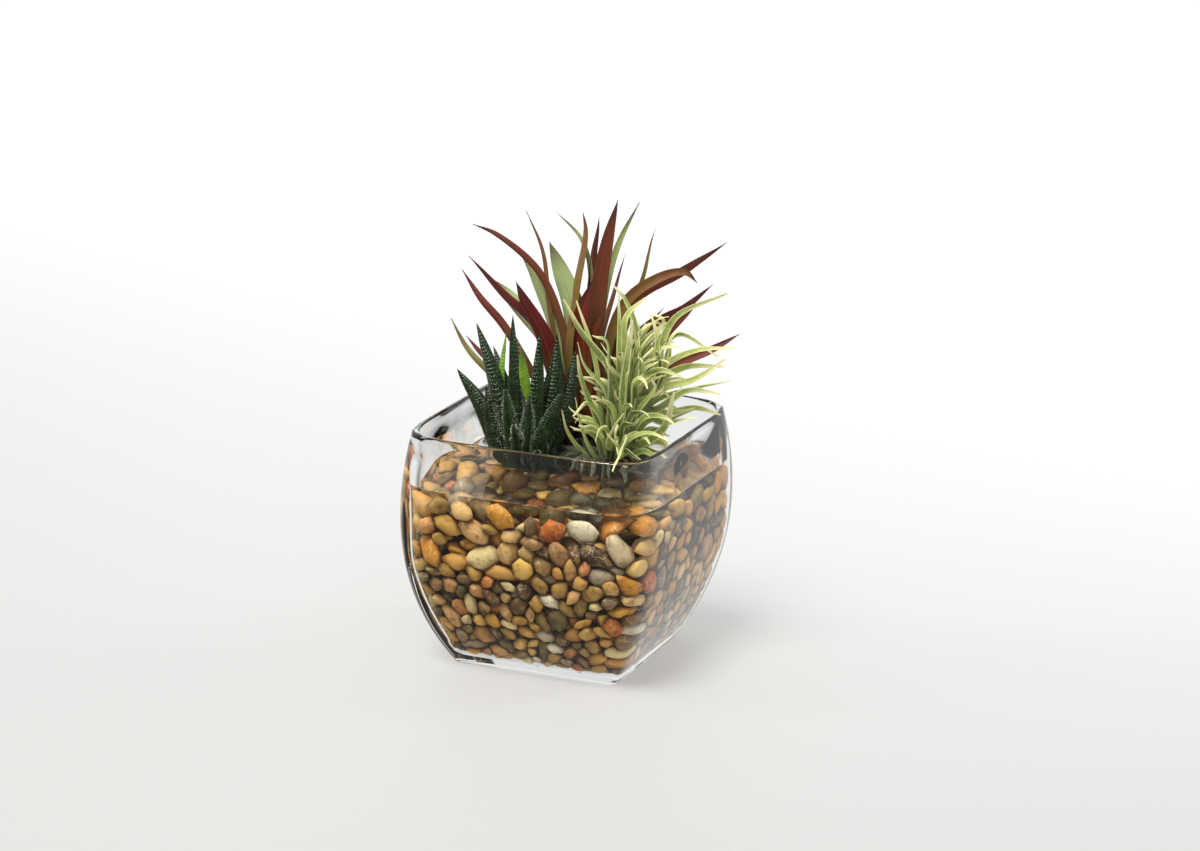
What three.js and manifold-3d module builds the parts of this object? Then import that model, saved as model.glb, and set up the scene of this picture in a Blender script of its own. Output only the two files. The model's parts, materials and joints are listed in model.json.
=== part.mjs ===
// Glass plant terrarium: a square barrel-sided glass vase with water, pebbles and three plants.
// Millimetres, +Z up. The origin is the centre of the base underside; the front face looks along -Y.
import * as THREE from 'three';
import { mergeVertices } from 'three/addons/utils/BufferGeometryUtils.js';
import Module from 'manifold-3d';

const wasm = await Module();
wasm.setup();

// Vase
const vaseHeight = 132;
const vaseWidest = 150;
const widestHeight = 91;
const sideArc = 168;
const wallThickness = 6;
const floorThickness = 8;
const footBevel = 1.2;
const floorFillet = 14;
const rimRound = wallThickness / 2;
const shoulder = vaseHeight - rimRound;
const cornerSquareness = { base: 16, middle: 5.5, rim: 7 };
const cavityRoundness = 0.72;
const vaseSides = 36;

// Filling: the stones are cobbles raised on a block that fills the cavity, and the water is the layer over them
const fitGap = 0.35;
const waterGap = 0.5;
const waterLevel = 102;
const waterBottom = 100;
const bedTop = 99.6;
const bedEdge = 98;
const cobbles = { perFace: 11, rows: 7, filletRows: 2, shake: 0.27, shoulderReach: 0.64 };
const cobbleDepth = { valley: 4.2, edge: 1.6, shoulder: 1.7, crown: 0.3, uneven: 0.8 };
const largeStone = { across: 8.4, deep: 7, tall: 5.6, lump: 0.07 };
const emergingStones = [[-52, -12, 98], [28, -44, 98], [44, 26, 98]];

// Planting: laid out in a frame turned about Z, x to the right, y to the back of the planting
const plantingTurn = THREE.MathUtils.degToRad(23.4);
const stemHoleDepth = 44;
const stemHoleSides = 16;
const rosette = { at: [-25, 0], stem: 5, crown: 15, rise: 6, crownHeight: 109 };
const grass = { at: [23, -6], stem: 3.4, crown: 9, rise: 5, crownHeight: 108 };
const redPlant = { at: [7, 29], stem: 3.6, crown: 5.5, rise: 4.5, crownHeight: 110 };

const looks = {
  glass: { color: 0xe6f1ee, roughness: 0.03, transparent: true, opacity: 0.35 },
  water: { color: 0xdfeae8, roughness: 0.02, transparent: true, opacity: 0.5 },
  pebble: { color: 0xa98a5e, roughness: 0.55 },
  rosette: { color: 0x24401f, roughness: 0.5 },
  grass: { color: 0xb3bd6c, roughness: 0.7 },
  redLeaf: { color: 0x6b2a1e, roughness: 0.45 },
};

const zAxis = new THREE.Vector3(0, 0, 1);

// Seeded draw between low and high, the same for the same pair of whole numbers
function draw(seed, index, low, high) {
  const wave = Math.sin(seed * 127.1 + index * 311.7) * 43758.5453;
  return low + (high - low) * (wave - Math.floor(wave));
}

function signedPower(value, power) {
  return Math.sign(value) * Math.abs(value) ** power;
}

// Geometry to a solid: shared vertices merged, flat triangles dropped, faces turned outwards
function solid(geometry) {
  const bare = geometry.clone();
  bare.deleteAttribute('normal');
  bare.deleteAttribute('uv');
  const merged = mergeVertices(bare, 1e-4);
  const at = merged.getAttribute('position').array;
  const kept = [];
  for (let i = 0; i < merged.index.count; i += 3) {
    const [a, b, c] = merged.index.array.slice(i, i + 3);
    if (a !== b && b !== c && c !== a) kept.push(a, b, c);
  }
  const build = (order) => new wasm.Manifold(
    new wasm.Mesh({ numProp: 3, vertProperties: new Float32Array(at), triVerts: new Uint32Array(order) }),
  );
  const body = build(kept);
  return body.volume() > 0 ? body : build(kept.reverse());
}

function joined(solids) {
  return solids.reduce((whole, next) => whole.add(next));
}

// The biggest connected body, so that sealed hollows and loose scraps are gone
function largest(body) {
  return body.decompose().sort((a, b) => b.volume() - a.volume())[0];
}

function toMesh(name, body, look) {
  const data = body.getMesh();
  const geometry = new THREE.BufferGeometry();
  geometry.setAttribute('position', new THREE.BufferAttribute(new Float32Array(data.vertProperties), 3));
  geometry.setIndex(new THREE.BufferAttribute(new Uint32Array(data.triVerts), 1));
  geometry.computeVertexNormals();
  const mesh = new THREE.Mesh(geometry, new THREE.MeshStandardMaterial({ metalness: 0, ...look }));
  mesh.name = name;
  return mesh;
}

function roundOff(value) {
  return Math.abs(value) < 1e-6 ? 0 : value;
}

// Half the outer width of the vase at a height: an arc that is widest above the middle
function outerHalf(z) {
  return vaseWidest / 2 - sideArc + Math.sqrt(sideArc ** 2 - (z - widestHeight) ** 2);
}

// How square the plan is at a height: a crisp base that softens up the body
function squareness(z) {
  const t = THREE.MathUtils.clamp(z / vaseHeight, 0, 1);
  const { base, middle, rim } = cornerSquareness;
  return base * (1 - t) ** 2 + 2 * middle * t * (1 - t) + rim * t ** 2;
}

// Point of the rounded-square plan of a half width, at a height and a turn
function planPoint(half, z, turn, roundness) {
  const power = 2 / (squareness(z) * roundness);
  const along = (share) => half * signedPower(roundOff(share), power);
  return [along(Math.cos(turn)), along(Math.sin(turn))];
}

// Turns a profile of [half width, height, roundness] rows into a body of rounded-square plan
function squareLathe(profile, sides = vaseSides) {
  const points = profile.map(([half, z]) => new THREE.Vector2(half, z));
  const geometry = new THREE.LatheGeometry(points, sides);
  const at = geometry.getAttribute('position');
  for (let i = 0; i < at.count; i += 1) {
    const [x, z, y] = [at.getX(i), at.getY(i), -at.getZ(i)];
    const [, , roundness = 1] = profile[i % profile.length];
    const [planX, planY] = planPoint(Math.hypot(x, y), z, Math.atan2(y, x), roundness);
    at.setXYZ(i, planX, planY, z);
  }
  return solid(geometry);
}

// A row of the round between floor and wall, drawn in by inset, from the floor (0) to the wall (1)
function filletRow(share, inset) {
  const turn = share * (Math.PI / 2);
  const fillet = floorFillet - inset;
  const wall = outerHalf(floorThickness + floorFillet) - wallThickness - inset;
  const z = floorThickness + inset + fillet * (1 - Math.cos(turn));
  return [wall - fillet * (1 - Math.sin(turn)), z, cavityRoundness];
}

// A row of the cavity's wall at a height, drawn in by inset
function wallRow(z, inset) {
  return [outerHalf(z) - wallThickness - inset, z, cavityRoundness];
}

// The cavity's profile, drawn in by inset, from the floor centre up to a top height
function cavityProfile(inset, top, rows = 6) {
  const wallFoot = floorThickness + floorFillet;
  const points = [[0, floorThickness + inset, cavityRoundness]];
  for (let i = 0; i <= 3; i += 1) points.push(filletRow(i / 3, inset));
  for (let i = 1; i <= rows; i += 1) points.push(wallRow(THREE.MathUtils.lerp(wallFoot, top, i / rows), inset));
  return points;
}

function makeVase() {
  const profile = [[0, 0], [outerHalf(0) - footBevel, 0]];
  const rows = 7;
  for (let i = 0; i <= rows; i += 1) {
    const z = footBevel + ((shoulder - footBevel) * i) / rows;
    profile.push([outerHalf(z), z]);
  }
  const rimSteps = 4;
  for (let i = 1; i < rimSteps; i += 1) {
    const turn = (Math.PI * i) / rimSteps;
    const middle = outerHalf(shoulder) - rimRound;
    const roundness = THREE.MathUtils.lerp(1, cavityRoundness, i / rimSteps);
    profile.push([middle + rimRound * Math.cos(turn), shoulder + rimRound * Math.sin(turn), roundness]);
  }
  profile.push(...cavityProfile(0, shoulder).reverse());
  return squareLathe(profile);
}

// The cavity as a solid, drawn in by inset and cut off flat at a height
function cavity(inset, top) {
  return squareLathe([...cavityProfile(inset, top), [0, top, cavityRoundness]]);
}

// A large flattened stone with slightly uneven sides, turned about Z and grown by a margin
function loneStone(place, turn, margin) {
  const geometry = new THREE.IcosahedronGeometry(1, 0);
  const at = geometry.getAttribute('position');
  const point = new THREE.Vector3();
  for (let i = 0; i < at.count; i += 1) {
    point.fromBufferAttribute(at, i);
    const lump = Math.sin(3 * point.x + turn) + Math.sin(4 * point.y + 2 * turn);
    point.multiplyScalar(1 + largeStone.lump * lump);
    at.setXYZ(i, point.x, point.y, point.z);
  }
  geometry.scale(largeStone.across + margin, largeStone.deep + margin, largeStone.tall + margin);
  geometry.rotateZ(turn);
  geometry.translate(...place);
  return solid(geometry);
}

// Point of the unit square's outline, u cobbles round it from a corner
function squareOutline(u) {
  const share = (((u / cobbles.perFace) % 4) + 4) % 4;
  const across = 2 * (share % 1) - 1;
  return [[1, across], [-across, 1], [-1, -across], [across, -1]][Math.floor(share)];
}

// Point of the unit square brought to the cavity's rounded-square plan of a half width, at a height
function squareToPlan([p, q], half, z) {
  const power = squareness(z) * cavityRoundness;
  const spread = (Math.abs(p) ** power + Math.abs(q) ** power) ** (1 / power);
  const scale = spread > 0 ? (half * Math.max(Math.abs(p), Math.abs(q))) / spread : 0;
  return [p * scale, q * scale, z];
}

// Point of the block's side, u cobbles round and v up, sunk by a depth
function sidePoint([u, v], depth) {
  const { rows, filletRows } = cobbles;
  const inset = fitGap + depth;
  const share = (v - filletRows) / (rows - filletRows);
  const height = THREE.MathUtils.lerp(floorThickness + floorFillet, bedEdge, share);
  const [half, z] = v < filletRows ? filletRow(v / filletRows, inset) : wallRow(height, inset);
  return squareToPlan(squareOutline(u), half, z);
}

// Point of the block's top, a and b cobbles from its corner, sunk by a depth
function topPoint([a, b], depth) {
  const [half] = wallRow(bedEdge, fitGap + cobbleDepth.edge);
  const place = [a, b].map((value) => (2 * value) / cobbles.perFace - 1);
  return squareToPlan(place, half, bedTop - depth);
}

// A corner of the grid of cobbles, put out of line with its neighbours
function shaken(i, j, seed) {
  const { shake } = cobbles;
  return [i + draw(seed, 1, -shake, shake), j + draw(seed, 2, -shake, shake)];
}

// Raises a cobble between four corners of the block: a middle and four shoulders, and a valley round them.
// A corner is the number of its point and its place on the grid, and surface gives the point of a place.
function addCobble(points, faces, corners, surface) {
  const seed = points.length;
  const middle = [0, 1].map((axis) => corners.reduce((sum, { at }) => sum + at[axis], 0) / corners.length);
  const uneven = draw(seed, 1, 0, cobbleDepth.uneven);
  const crown = points.push(surface(middle, cobbleDepth.crown + uneven)) - 1;
  const shoulders = corners.map(({ at }, k) => {
    const reach = cobbles.shoulderReach * draw(seed, 2 + k, 0.88, 1.08);
    const place = middle.map((value, axis) => THREE.MathUtils.lerp(value, at[axis], reach));
    return points.push(surface(place, cobbleDepth.shoulder + uneven)) - 1;
  });
  corners.forEach(({ index }, k) => {
    const next = (k + 1) % corners.length;
    faces.push(crown, shoulders[k], shoulders[next]);
    faces.push(shoulders[k], index, corners[next].index);
    faces.push(shoulders[k], corners[next].index, shoulders[next]);
  });
}

// The block: four sides and a top of cobbles on a plain floor
function cobbledBlock() {
  const { perFace, rows } = cobbles;
  const around = 4 * perFace;
  const points = [];
  const faces = [];
  const sideDepth = (j) => ({ 0: 0, [rows]: cobbleDepth.edge })[j] ?? cobbleDepth.valley;
  const sideCorner = (i, j) => {
    const index = j * around + (i % around);
    return { index, at: j % rows === 0 ? [i, j] : shaken(i, j, index) };
  };
  for (let j = 0; j <= rows; j += 1) {
    for (let i = 0; i < around; i += 1) points.push(sidePoint(sideCorner(i, j).at, sideDepth(j)));
  }
  const topIndex = new Map();
  const key = (a, b) => b * (perFace + 1) + a;
  for (let i = 0; i < around; i += 1) {
    const [a, b] = squareOutline(i).map((value) => Math.round(((value + 1) * perFace) / 2));
    topIndex.set(key(a, b), rows * around + i);
  }
  const topCorner = (a, b) => {
    const held = a % perFace === 0 || b % perFace === 0;
    return { index: topIndex.get(key(a, b)), at: held ? [a, b] : shaken(a, b, 1000 + key(a, b)) };
  };
  for (let b = 1; b < perFace; b += 1) {
    for (let a = 1; a < perFace; a += 1) {
      const number = points.push(topPoint(topCorner(a, b).at, cobbleDepth.valley)) - 1;
      topIndex.set(key(a, b), number);
    }
  }
  const ring = (i, j, corner) => [corner(i, j), corner(i + 1, j), corner(i + 1, j + 1), corner(i, j + 1)];
  for (let j = 0; j < rows; j += 1) {
    for (let i = 0; i < around; i += 1) addCobble(points, faces, ring(i, j, sideCorner), sidePoint);
  }
  for (let b = 0; b < perFace; b += 1) {
    for (let a = 0; a < perFace; a += 1) addCobble(points, faces, ring(a, b, topCorner), topPoint);
  }
  const floorMiddle = points.push([0, 0, floorThickness + fitGap]) - 1;
  for (let i = 0; i < around; i += 1) faces.push(floorMiddle, (i + 1) % around, i);

  const geometry = new THREE.BufferGeometry();
  geometry.setAttribute('position', new THREE.Float32BufferAttribute(points.flat(), 3));
  geometry.setIndex(faces);
  return solid(geometry);
}

function loneStones(margin) {
  return joined(emergingStones.map((place, k) => loneStone(place, k, margin)));
}

// Where a plant stands, in the frame of the vase
function standing(plant) {
  const [x, y] = plant.at;
  return new THREE.Vector3(x, y, 0).applyAxisAngle(zAxis, plantingTurn);
}

function post(radius, bottom, top, sides = 10) {
  const geometry = new THREE.CylinderGeometry(radius, radius, top - bottom, sides);
  geometry.rotateX(Math.PI / 2);
  geometry.translate(0, 0, (top + bottom) / 2);
  return geometry;
}

// Plain upright holes in the pebbles and the water for the stems
function stemHoles() {
  const bottom = bedTop - stemHoleDepth;
  return joined([rosette, grass, redPlant].map((plant) => {
    const hole = post(plant.stem + fitGap, bottom, vaseHeight, stemHoleSides);
    const { x, y } = standing(plant);
    return solid(hole.translate(x, y, 0));
  }));
}

function makeBed() {
  const stones = cobbledBlock().add(loneStones(0)).intersect(cavity(fitGap, shoulder));
  return largest(stones.subtract(stemHoles()));
}

// The water that stands over the stones, up to its own level
function makeWater() {
  const depth = waterLevel - waterBottom;
  const layer = new THREE.BoxGeometry(vaseWidest, vaseWidest, depth).translate(0, 0, waterBottom + depth / 2);
  const inside = cavity(fitGap, shoulder).intersect(solid(layer));
  return largest(inside.subtract(loneStones(waterGap)).subtract(stemHoles()));
}

// A leaf: a tapered rod of few sides laid along a curve, its section folded into a channel
function leaf({ path, width, thick, fold = 0, sides = 4, steps = 7, twist = 0, shape, ridges = 0 }) {
  const geometry = new THREE.CylinderGeometry(1, 1, 1, sides, steps);
  const at = geometry.getAttribute('position');
  const start = path.getPoint(0);
  const reach = path.getPoint(1).sub(start);
  const outward = new THREE.Vector3(reach.x, reach.y, 0);
  if (outward.length() < 0.5) outward.set(1, 0, 0);
  const across = zAxis.clone().cross(outward.normalize());
  for (let i = 0; i < at.count; i += 1) {
    const t = at.getY(i) + 0.5;
    const place = path.getPoint(t);
    const along = path.getTangent(t);
    const wide = across.clone().addScaledVector(along, -across.dot(along)).normalize();
    wide.applyAxisAngle(along, twist * t);
    const back = wide.clone().cross(along);
    const step = Math.round(t * steps);
    const ridge = step % 2 === 1 && step < steps - 1 ? ridges : 0;
    const half = Math.max(0.35, (width / 2) * shape(t)) + ridge;
    const deep = Math.max(0.35, (thick / 2) * Math.max(shape(t), 0.5)) + ridge;
    const [u, v] = [at.getX(i), at.getZ(i)];
    place.addScaledVector(wide, u * half);
    place.addScaledVector(back, v * deep - fold * Math.abs(u) * half);
    at.setXYZ(i, place.x, place.y, place.z);
  }
  return solid(geometry);
}

// A leaf's curve: from the side of the crown, through its bends, to its tip. A bend is [x, z] in the frame of
// the planting, and the bends of a leaf share out its way to the depth of the tip.
function leafPath(plant, { tip, bends }, order) {
  const [x, y] = plant.at;
  const lean = new THREE.Vector3(tip[0] - x, tip[1] - y, 0).setLength(plant.crown * 0.62);
  const height = plant.crownHeight + plant.rise * (((order * 0.618) % 1) - 0.7);
  const root = new THREE.Vector3(x, y, height).add(lean);
  const onTheWay = bends.map(([bendX, bendZ], k) => {
    const depth = THREE.MathUtils.lerp(y, tip[1], (k + 1) / (bends.length + 1));
    return new THREE.Vector3(bendX, depth, bendZ);
  });
  return new THREE.CatmullRomCurve3([root, ...onTheWay, new THREE.Vector3(...tip)]);
}

const lance = (t) => ((0.45 + 1.7 * t) * (1 - t) ** 1.3) / 0.605;
const wedge = (t) => (1 - t) ** 0.75 * (1 + 0.5 * t);
const ribbon = (t) => 0.1 + 0.9 * (1 - t) ** 0.9;

// Stem with a rounded crown that the leaves stand out of
function crown(plant) {
  const [x, y] = plant.at;
  const bottom = bedTop - stemHoleDepth + fitGap;
  const stem = post(plant.stem, bottom, plant.crownHeight, 8);
  const heart = new THREE.SphereGeometry(1, 8, 5).rotateX(Math.PI / 2);
  heart.scale(plant.crown, plant.crown, plant.rise).translate(0, 0, plant.crownHeight);
  return joined([solid(stem.translate(x, y, 0)), solid(heart.translate(x, y, 0))]);
}

// Rosette leaves, the tall ones first, then the lower ones that lean to the front
const rosetteLeaves = [
  { tip: [-61, -4, 160], bends: [[-46, 136]] },
  { tip: [-51, 10, 182], bends: [[-41, 150]] },
  { tip: [-31, -6, 191], bends: [[-29, 152]] },
  { tip: [-26, -18, 181], bends: [[-24, 146]], width: 12 },
  { tip: [-16, -8, 183], bends: [[-17, 146]] },
  { tip: [-7, -2, 180], bends: [[-8, 146]] },
  { tip: [3, 8, 168], bends: [[-2, 138]] },
  { tip: [-35, 18, 175], bends: [[-38, 148]], width: 7 },
  { tip: [-42, 22, 166], bends: [[-35, 140]] },
  { tip: [-35, -22, 156], bends: [[-32, 130]] },
  { tip: [-4, -20, 153], bends: [[-13, 128]] },
  { tip: [-45, -14, 154], bends: [[-40, 126]] },
  { tip: [-21, -26, 152], bends: [[-23, 128]] },
  { tip: [-16, 20, 170], bends: [[-19, 136]] },
  { tip: [-28, 26, 152], bends: [[-26, 128]] },
  { tip: [-30, -30, 138], bends: [[-28, 120]] },
  { tip: [-10, 2, 164], bends: [[-14, 132]] },
  { tip: [-49, 4, 146], bends: [[-43, 124]] },
];

function makeRosette() {
  const leaves = rosetteLeaves.map((route, k) => leaf({
    path: leafPath(rosette, route, k), width: route.width ?? 12, thick: 5, fold: 0.25,
    sides: 5, steps: 10, shape: wedge, ridges: 0.35,
  }));
  return largest(joined([crown(rosette), ...leaves]));
}

// Grass leaves that make the outline of the tuft, the curled ones with two bends
const grassLeaves = [
  { tip: [22, -8, 210], bends: [[37, 172], [31, 199]] },
  { tip: [39, -14, 203], bends: [[30, 180]] },
  { tip: [83, -4, 205], bends: [[53, 182]] },
  { tip: [40, -2, 192], bends: [[46, 170], [50, 189]] },
  { tip: [88, -6, 174], bends: [[52, 164]] },
  { tip: [84, -14, 170], bends: [[58, 154]] },
  { tip: [89, 2, 156], bends: [[52, 149]] },
  { tip: [80, -14, 151], bends: [[50, 144]] },
  { tip: [80, 0, 166], bends: [[48, 168], [66, 175]] },
  { tip: [-4, -14, 204], bends: [[14, 168]] },
  { tip: [4, -20, 180], bends: [[13, 144]] },
  { tip: [5, -8, 193], bends: [[10, 176]] },
  { tip: [12, -18, 180], bends: [[20, 162], [17, 184]] },
  { tip: [2, -28, 141], bends: [[16, 138], [10, 147]] },
  { tip: [-3, -24, 143], bends: [[5, 118]] },
  { tip: [3, -26, 151], bends: [[9, 126]] },
  { tip: [52, -26, 126], bends: [[38, 128]] },
  { tip: [69, -16, 139], bends: [[52, 134]] },
  { tip: [30, -34, 145], bends: [[22, 126]] },
  { tip: [57, -12, 152], bends: [[42, 132]], width: 6 },
  { tip: [47, -22, 151], bends: [[38, 146], [44, 160]] },
  { tip: [59, -22, 162], bends: [[40, 154], [51, 166]] },
];
const grassRing = { count: 20, low: 140, high: 192, near: 14, far: 40, lean: 16 };

// The rest of the tuft by rule: golden-angle turns, lower and further out as they go, leaning to the right
function grassByRule() {
  const goldenAngle = Math.PI * (3 - Math.sqrt(5));
  const { count, low, high, near, far, lean } = grassRing;
  const [x, y] = grass.at;
  return Array.from({ length: count }, (_, k) => {
    const share = k / count;
    const turn = k * goldenAngle;
    const reach = THREE.MathUtils.lerp(near, far, share);
    const across = Math.cos(turn) * reach * (Math.cos(turn) < 0 ? 0.5 : 1) + lean;
    const depth = Math.sin(turn) * reach * (Math.sin(turn) > 0 ? 0.4 : 0.7);
    const height = THREE.MathUtils.lerp(high, low, share) + draw(8, k, -9, 9);
    const bend = [x + 0.55 * across, (grass.crownHeight + height) / 2 + 9];
    return { tip: [x + across, y + depth, height], bends: [bend] };
  });
}

function makeGrass(others) {
  const leaves = [...grassLeaves, ...grassByRule()].map((route, k) => leaf({
    path: leafPath(grass, route, k), width: route.width ?? 4.4, thick: 2, fold: 0.2,
    sides: 3, steps: route.bends.length > 1 ? 6 : 4, shape: ribbon, twist: draw(31, k, -0.8, 0.8),
  }));
  const clear = leaves.filter((body) => others.every((other) => body.minGap(other, 1) > fitGap));
  return largest(joined([crown(grass), ...clear]));
}

// Leaves of the red plant: the fan that shows against the light, then the ones behind it
const redLeaves = [
  { tip: [-54, 40, 230], bends: [[-14, 198]] },
  { tip: [-24, 48, 236], bends: [[-12, 189]], width: 5 },
  { tip: [-8, 44, 236], bends: [[7, 198]] },
  { tip: [-12, 34, 222], bends: [[-1, 184]], width: 10 },
  { tip: [7, 36, 240], bends: [[2, 178]], width: 10 },
  { tip: [16, 44, 234], bends: [[11, 180]] },
  { tip: [26, 34, 247], bends: [[17, 188]], width: 10 },
  { tip: [38, 50, 241], bends: [[21, 196]], width: 5 },
  { tip: [47, 48, 227], bends: [[34, 188]], width: 5 },
  { tip: [87, 38, 222], bends: [[37, 188]] },
  { tip: [71, 30, 200], bends: [[29, 184], [57, 208]] },
  { tip: [80, 46, 196], bends: [[43, 177]] },
  { tip: [70, 38, 185], bends: [[44, 161]] },
  { tip: [96, 38, 172], bends: [[50, 150]] },
  { tip: [-56, 36, 212], bends: [[-17, 170]] },
  { tip: [-60, 46, 202], bends: [[-29, 166]] },
  { tip: [-30, 27, 201], bends: [[-11, 162]], width: 10 },
  { tip: [-30, 50, 216], bends: [[-9, 176]], width: 9 },
  { tip: [-66, 46, 174], bends: [[-33, 142]] },
  { tip: [-59, 58, 161], bends: [[-30, 137]] },
  { tip: [13, 24, 212], bends: [[9, 166]], width: 10 },
  { tip: [19, 20, 187], bends: [[12, 162]] },
  { tip: [-47, 52, 198], bends: [[-14, 168]] },
  { tip: [30, 74, 206], bends: [[18, 172]] },
  { tip: [-8, 84, 190], bends: [[0, 166]] },
  { tip: [52, 78, 174], bends: [[30, 156]] },
  { tip: [-36, 80, 176], bends: [[-12, 154]] },
];

function makeRedPlant() {
  const leaves = redLeaves.map((route, k) => leaf({
    path: leafPath(redPlant, route, k), width: route.width ?? 8, thick: 1.5, fold: 0.3,
    sides: 4, steps: 6, shape: lance, twist: draw(51, k, -0.9, 0.9),
  }));
  return largest(joined([crown(redPlant), ...leaves]));
}

const terrarium = new THREE.Group();
const vessel = new THREE.Group();
vessel.add(toMesh('vase_glass', makeVase(), looks.glass));
vessel.add(toMesh('water', makeWater(), looks.water));
vessel.add(toMesh('pebble_bed', makeBed(), looks.pebble));

const planting = new THREE.Group();
planting.rotation.z = plantingTurn;
const rosetteBody = makeRosette();
const redBody = makeRedPlant();
planting.add(toMesh('rosette_plant', rosetteBody, looks.rosette));
planting.add(toMesh('grassy_plant', makeGrass([rosetteBody, redBody]), looks.grass));
planting.add(toMesh('red_leaf_plant', redBody, looks.redLeaf));

terrarium.add(vessel, planting);

export default terrarium;
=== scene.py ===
# Glass plant terrarium: a square barrel-sided vase of water and river pebbles that holds three small plants.
# The dictionaries are in millimetres and degrees, and the studio's in metres. Meshes are made in metres, in
# the frame of the model.
import json
import math

import bmesh
import bpy
import numpy as np
from mathutils import Matrix, Vector, noise

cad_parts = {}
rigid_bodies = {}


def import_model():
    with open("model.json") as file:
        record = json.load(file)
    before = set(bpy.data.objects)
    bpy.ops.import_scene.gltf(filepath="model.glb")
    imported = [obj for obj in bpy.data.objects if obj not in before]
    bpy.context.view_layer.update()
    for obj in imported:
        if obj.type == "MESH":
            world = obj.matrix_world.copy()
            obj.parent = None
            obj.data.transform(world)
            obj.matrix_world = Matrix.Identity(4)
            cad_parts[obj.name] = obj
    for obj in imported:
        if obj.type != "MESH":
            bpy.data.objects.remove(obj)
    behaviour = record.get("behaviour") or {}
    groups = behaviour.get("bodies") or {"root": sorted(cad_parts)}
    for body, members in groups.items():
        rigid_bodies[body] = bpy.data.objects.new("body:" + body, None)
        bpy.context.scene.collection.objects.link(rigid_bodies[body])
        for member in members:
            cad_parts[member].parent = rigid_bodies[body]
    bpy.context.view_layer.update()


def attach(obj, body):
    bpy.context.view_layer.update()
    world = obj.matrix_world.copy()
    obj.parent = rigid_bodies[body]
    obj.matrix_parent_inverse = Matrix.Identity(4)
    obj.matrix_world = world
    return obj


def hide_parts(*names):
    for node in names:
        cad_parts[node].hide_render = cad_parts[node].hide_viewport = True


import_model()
mm = 0.001
goldenAngle = math.pi * (3 - math.sqrt(5))
paintedShadeLeaf = -1  # shade value of the skirt leaves low round the crowns: near-black, painted shade


class Wire:
    # One output of a node, which Python's operators turn into Math nodes
    def __init__(self, graph, socket):
        self.graph = graph
        self.socket = socket

    def maths(self, operation, *values):
        return self.graph.node("ShaderNodeMath", {"operation": operation}, dict(enumerate(values)))

    def output(self, name):
        return Wire(self.graph, self.socket.node.outputs[name])

    def __add__(self, other):
        return self.maths("ADD", self, other)

    def __radd__(self, other):
        return self.maths("ADD", other, self)

    def __sub__(self, other):
        return self.maths("SUBTRACT", self, other)

    def __rsub__(self, other):
        return self.maths("SUBTRACT", other, self)

    def __mul__(self, other):
        return self.maths("MULTIPLY", self, other)

    def __rmul__(self, other):
        return self.maths("MULTIPLY", other, self)

    def __pow__(self, other):
        return self.maths("POWER", self, other)

    def __abs__(self):
        return self.maths("ABSOLUTE", self)

    def above(self, level, softness):
        # 0 below the level, 1 above it, with a smooth step between
        limits = {"From Min": level - softness, "From Max": level + softness}
        return self.graph.node(
            "ShaderNodeMapRange", {"interpolation_type": "SMOOTHSTEP"}, {"Value": self, **limits}
        )


class NodeGraph:
    # A shader or geometry tree under construction
    def __init__(self, tree):
        self.tree = tree

    def node(self, kind, settings=None, sockets=None, output=0):
        node = self.tree.nodes.new(kind)
        for name, value in (settings or {}).items():
            if name == "stops":
                self.setStops(node.color_ramp.elements, value)
            else:
                setattr(node, name, value)
        for key, value in (sockets or {}).items():
            if isinstance(value, Wire):
                self.tree.links.new(value.socket, node.inputs[key])
            else:
                node.inputs[key].default_value = value
        if not node.outputs:
            return None
        return Wire(self, node.outputs[output])

    def setStops(self, elements, stops):
        while len(elements) < len(stops):
            elements.new(1.0)
        for element, (position, colour) in zip(elements, stops):
            element.position = position
            element.color = rgb(*colour)

    def mix(self, factor, first, second, blend="MIX"):
        settings = {"data_type": "RGBA", "blend_type": blend}
        return self.node("ShaderNodeMix", settings, {0: factor, 6: first, 7: second}, output=2)

    def paint(self, colour, *layers):
        # Layers of a screen colour, one over the other, each as strong as its factor
        for factor, layer, *blending in layers:
            colour = self.mix(factor, colour, rgb(*layer), *blending)
        return colour

    def ramp(self, factor, stops):
        return self.node("ShaderNodeValToRGB", {"stops": stops}, {"Fac": factor})

    def attribute(self, name):
        return self.node("ShaderNodeAttribute", {"attribute_name": name}, output="Fac")

    def place(self):
        return self.node("ShaderNodeTexCoord", output="Object")

    def ray(self, kind):
        return self.node("ShaderNodeLightPath", output=f"Is {kind} Ray")

    def value(self, name, kind):
        # A named value that the source mesh of a geometry tree carries
        return self.node("GeometryNodeInputNamedAttribute", {"data_type": kind}, {"Name": name})

    def measure(self, operation, *vectors):
        # Vector math that ends in one number
        sockets = dict(enumerate(vectors))
        return self.node("ShaderNodeVectorMath", {"operation": operation}, sockets, output="Value")

    def split(self, vector):
        # The vector's X, with Y and Z as its other outputs
        return self.node("ShaderNodeSeparateXYZ", {}, {0: vector})

    def noise(self, vector, scale, detail=3.0, roughness=0.55):
        sockets = {"Vector": vector, "Scale": scale, "Detail": detail, "Roughness": roughness}
        return self.node("ShaderNodeTexNoise", {}, sockets, output="Fac")

    def bump(self, height, strength, distance, normal=None):
        sockets = {"Height": height, "Strength": strength, "Distance": distance}
        if normal:
            sockets["Normal"] = normal
        return self.node("ShaderNodeBump", {}, sockets)


def rgb(red, green, blue):
    # Screen colour, 0 to 255, as the linear colour that shaders take
    def linear(value):
        share = value / 255
        return share / 12.92 if share <= 0.04045 else ((share + 0.055) / 1.055) ** 2.4
    return (linear(red), linear(green), linear(blue), 1.0)


def newMaterial(name):
    material = bpy.data.materials.new(name)
    material.use_nodes = True
    material.node_tree.nodes.clear()
    return material, NodeGraph(material.node_tree)


def closeMaterial(graph, shader):
    graph.node("ShaderNodeOutputMaterial", {}, {"Surface": shader})


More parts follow.
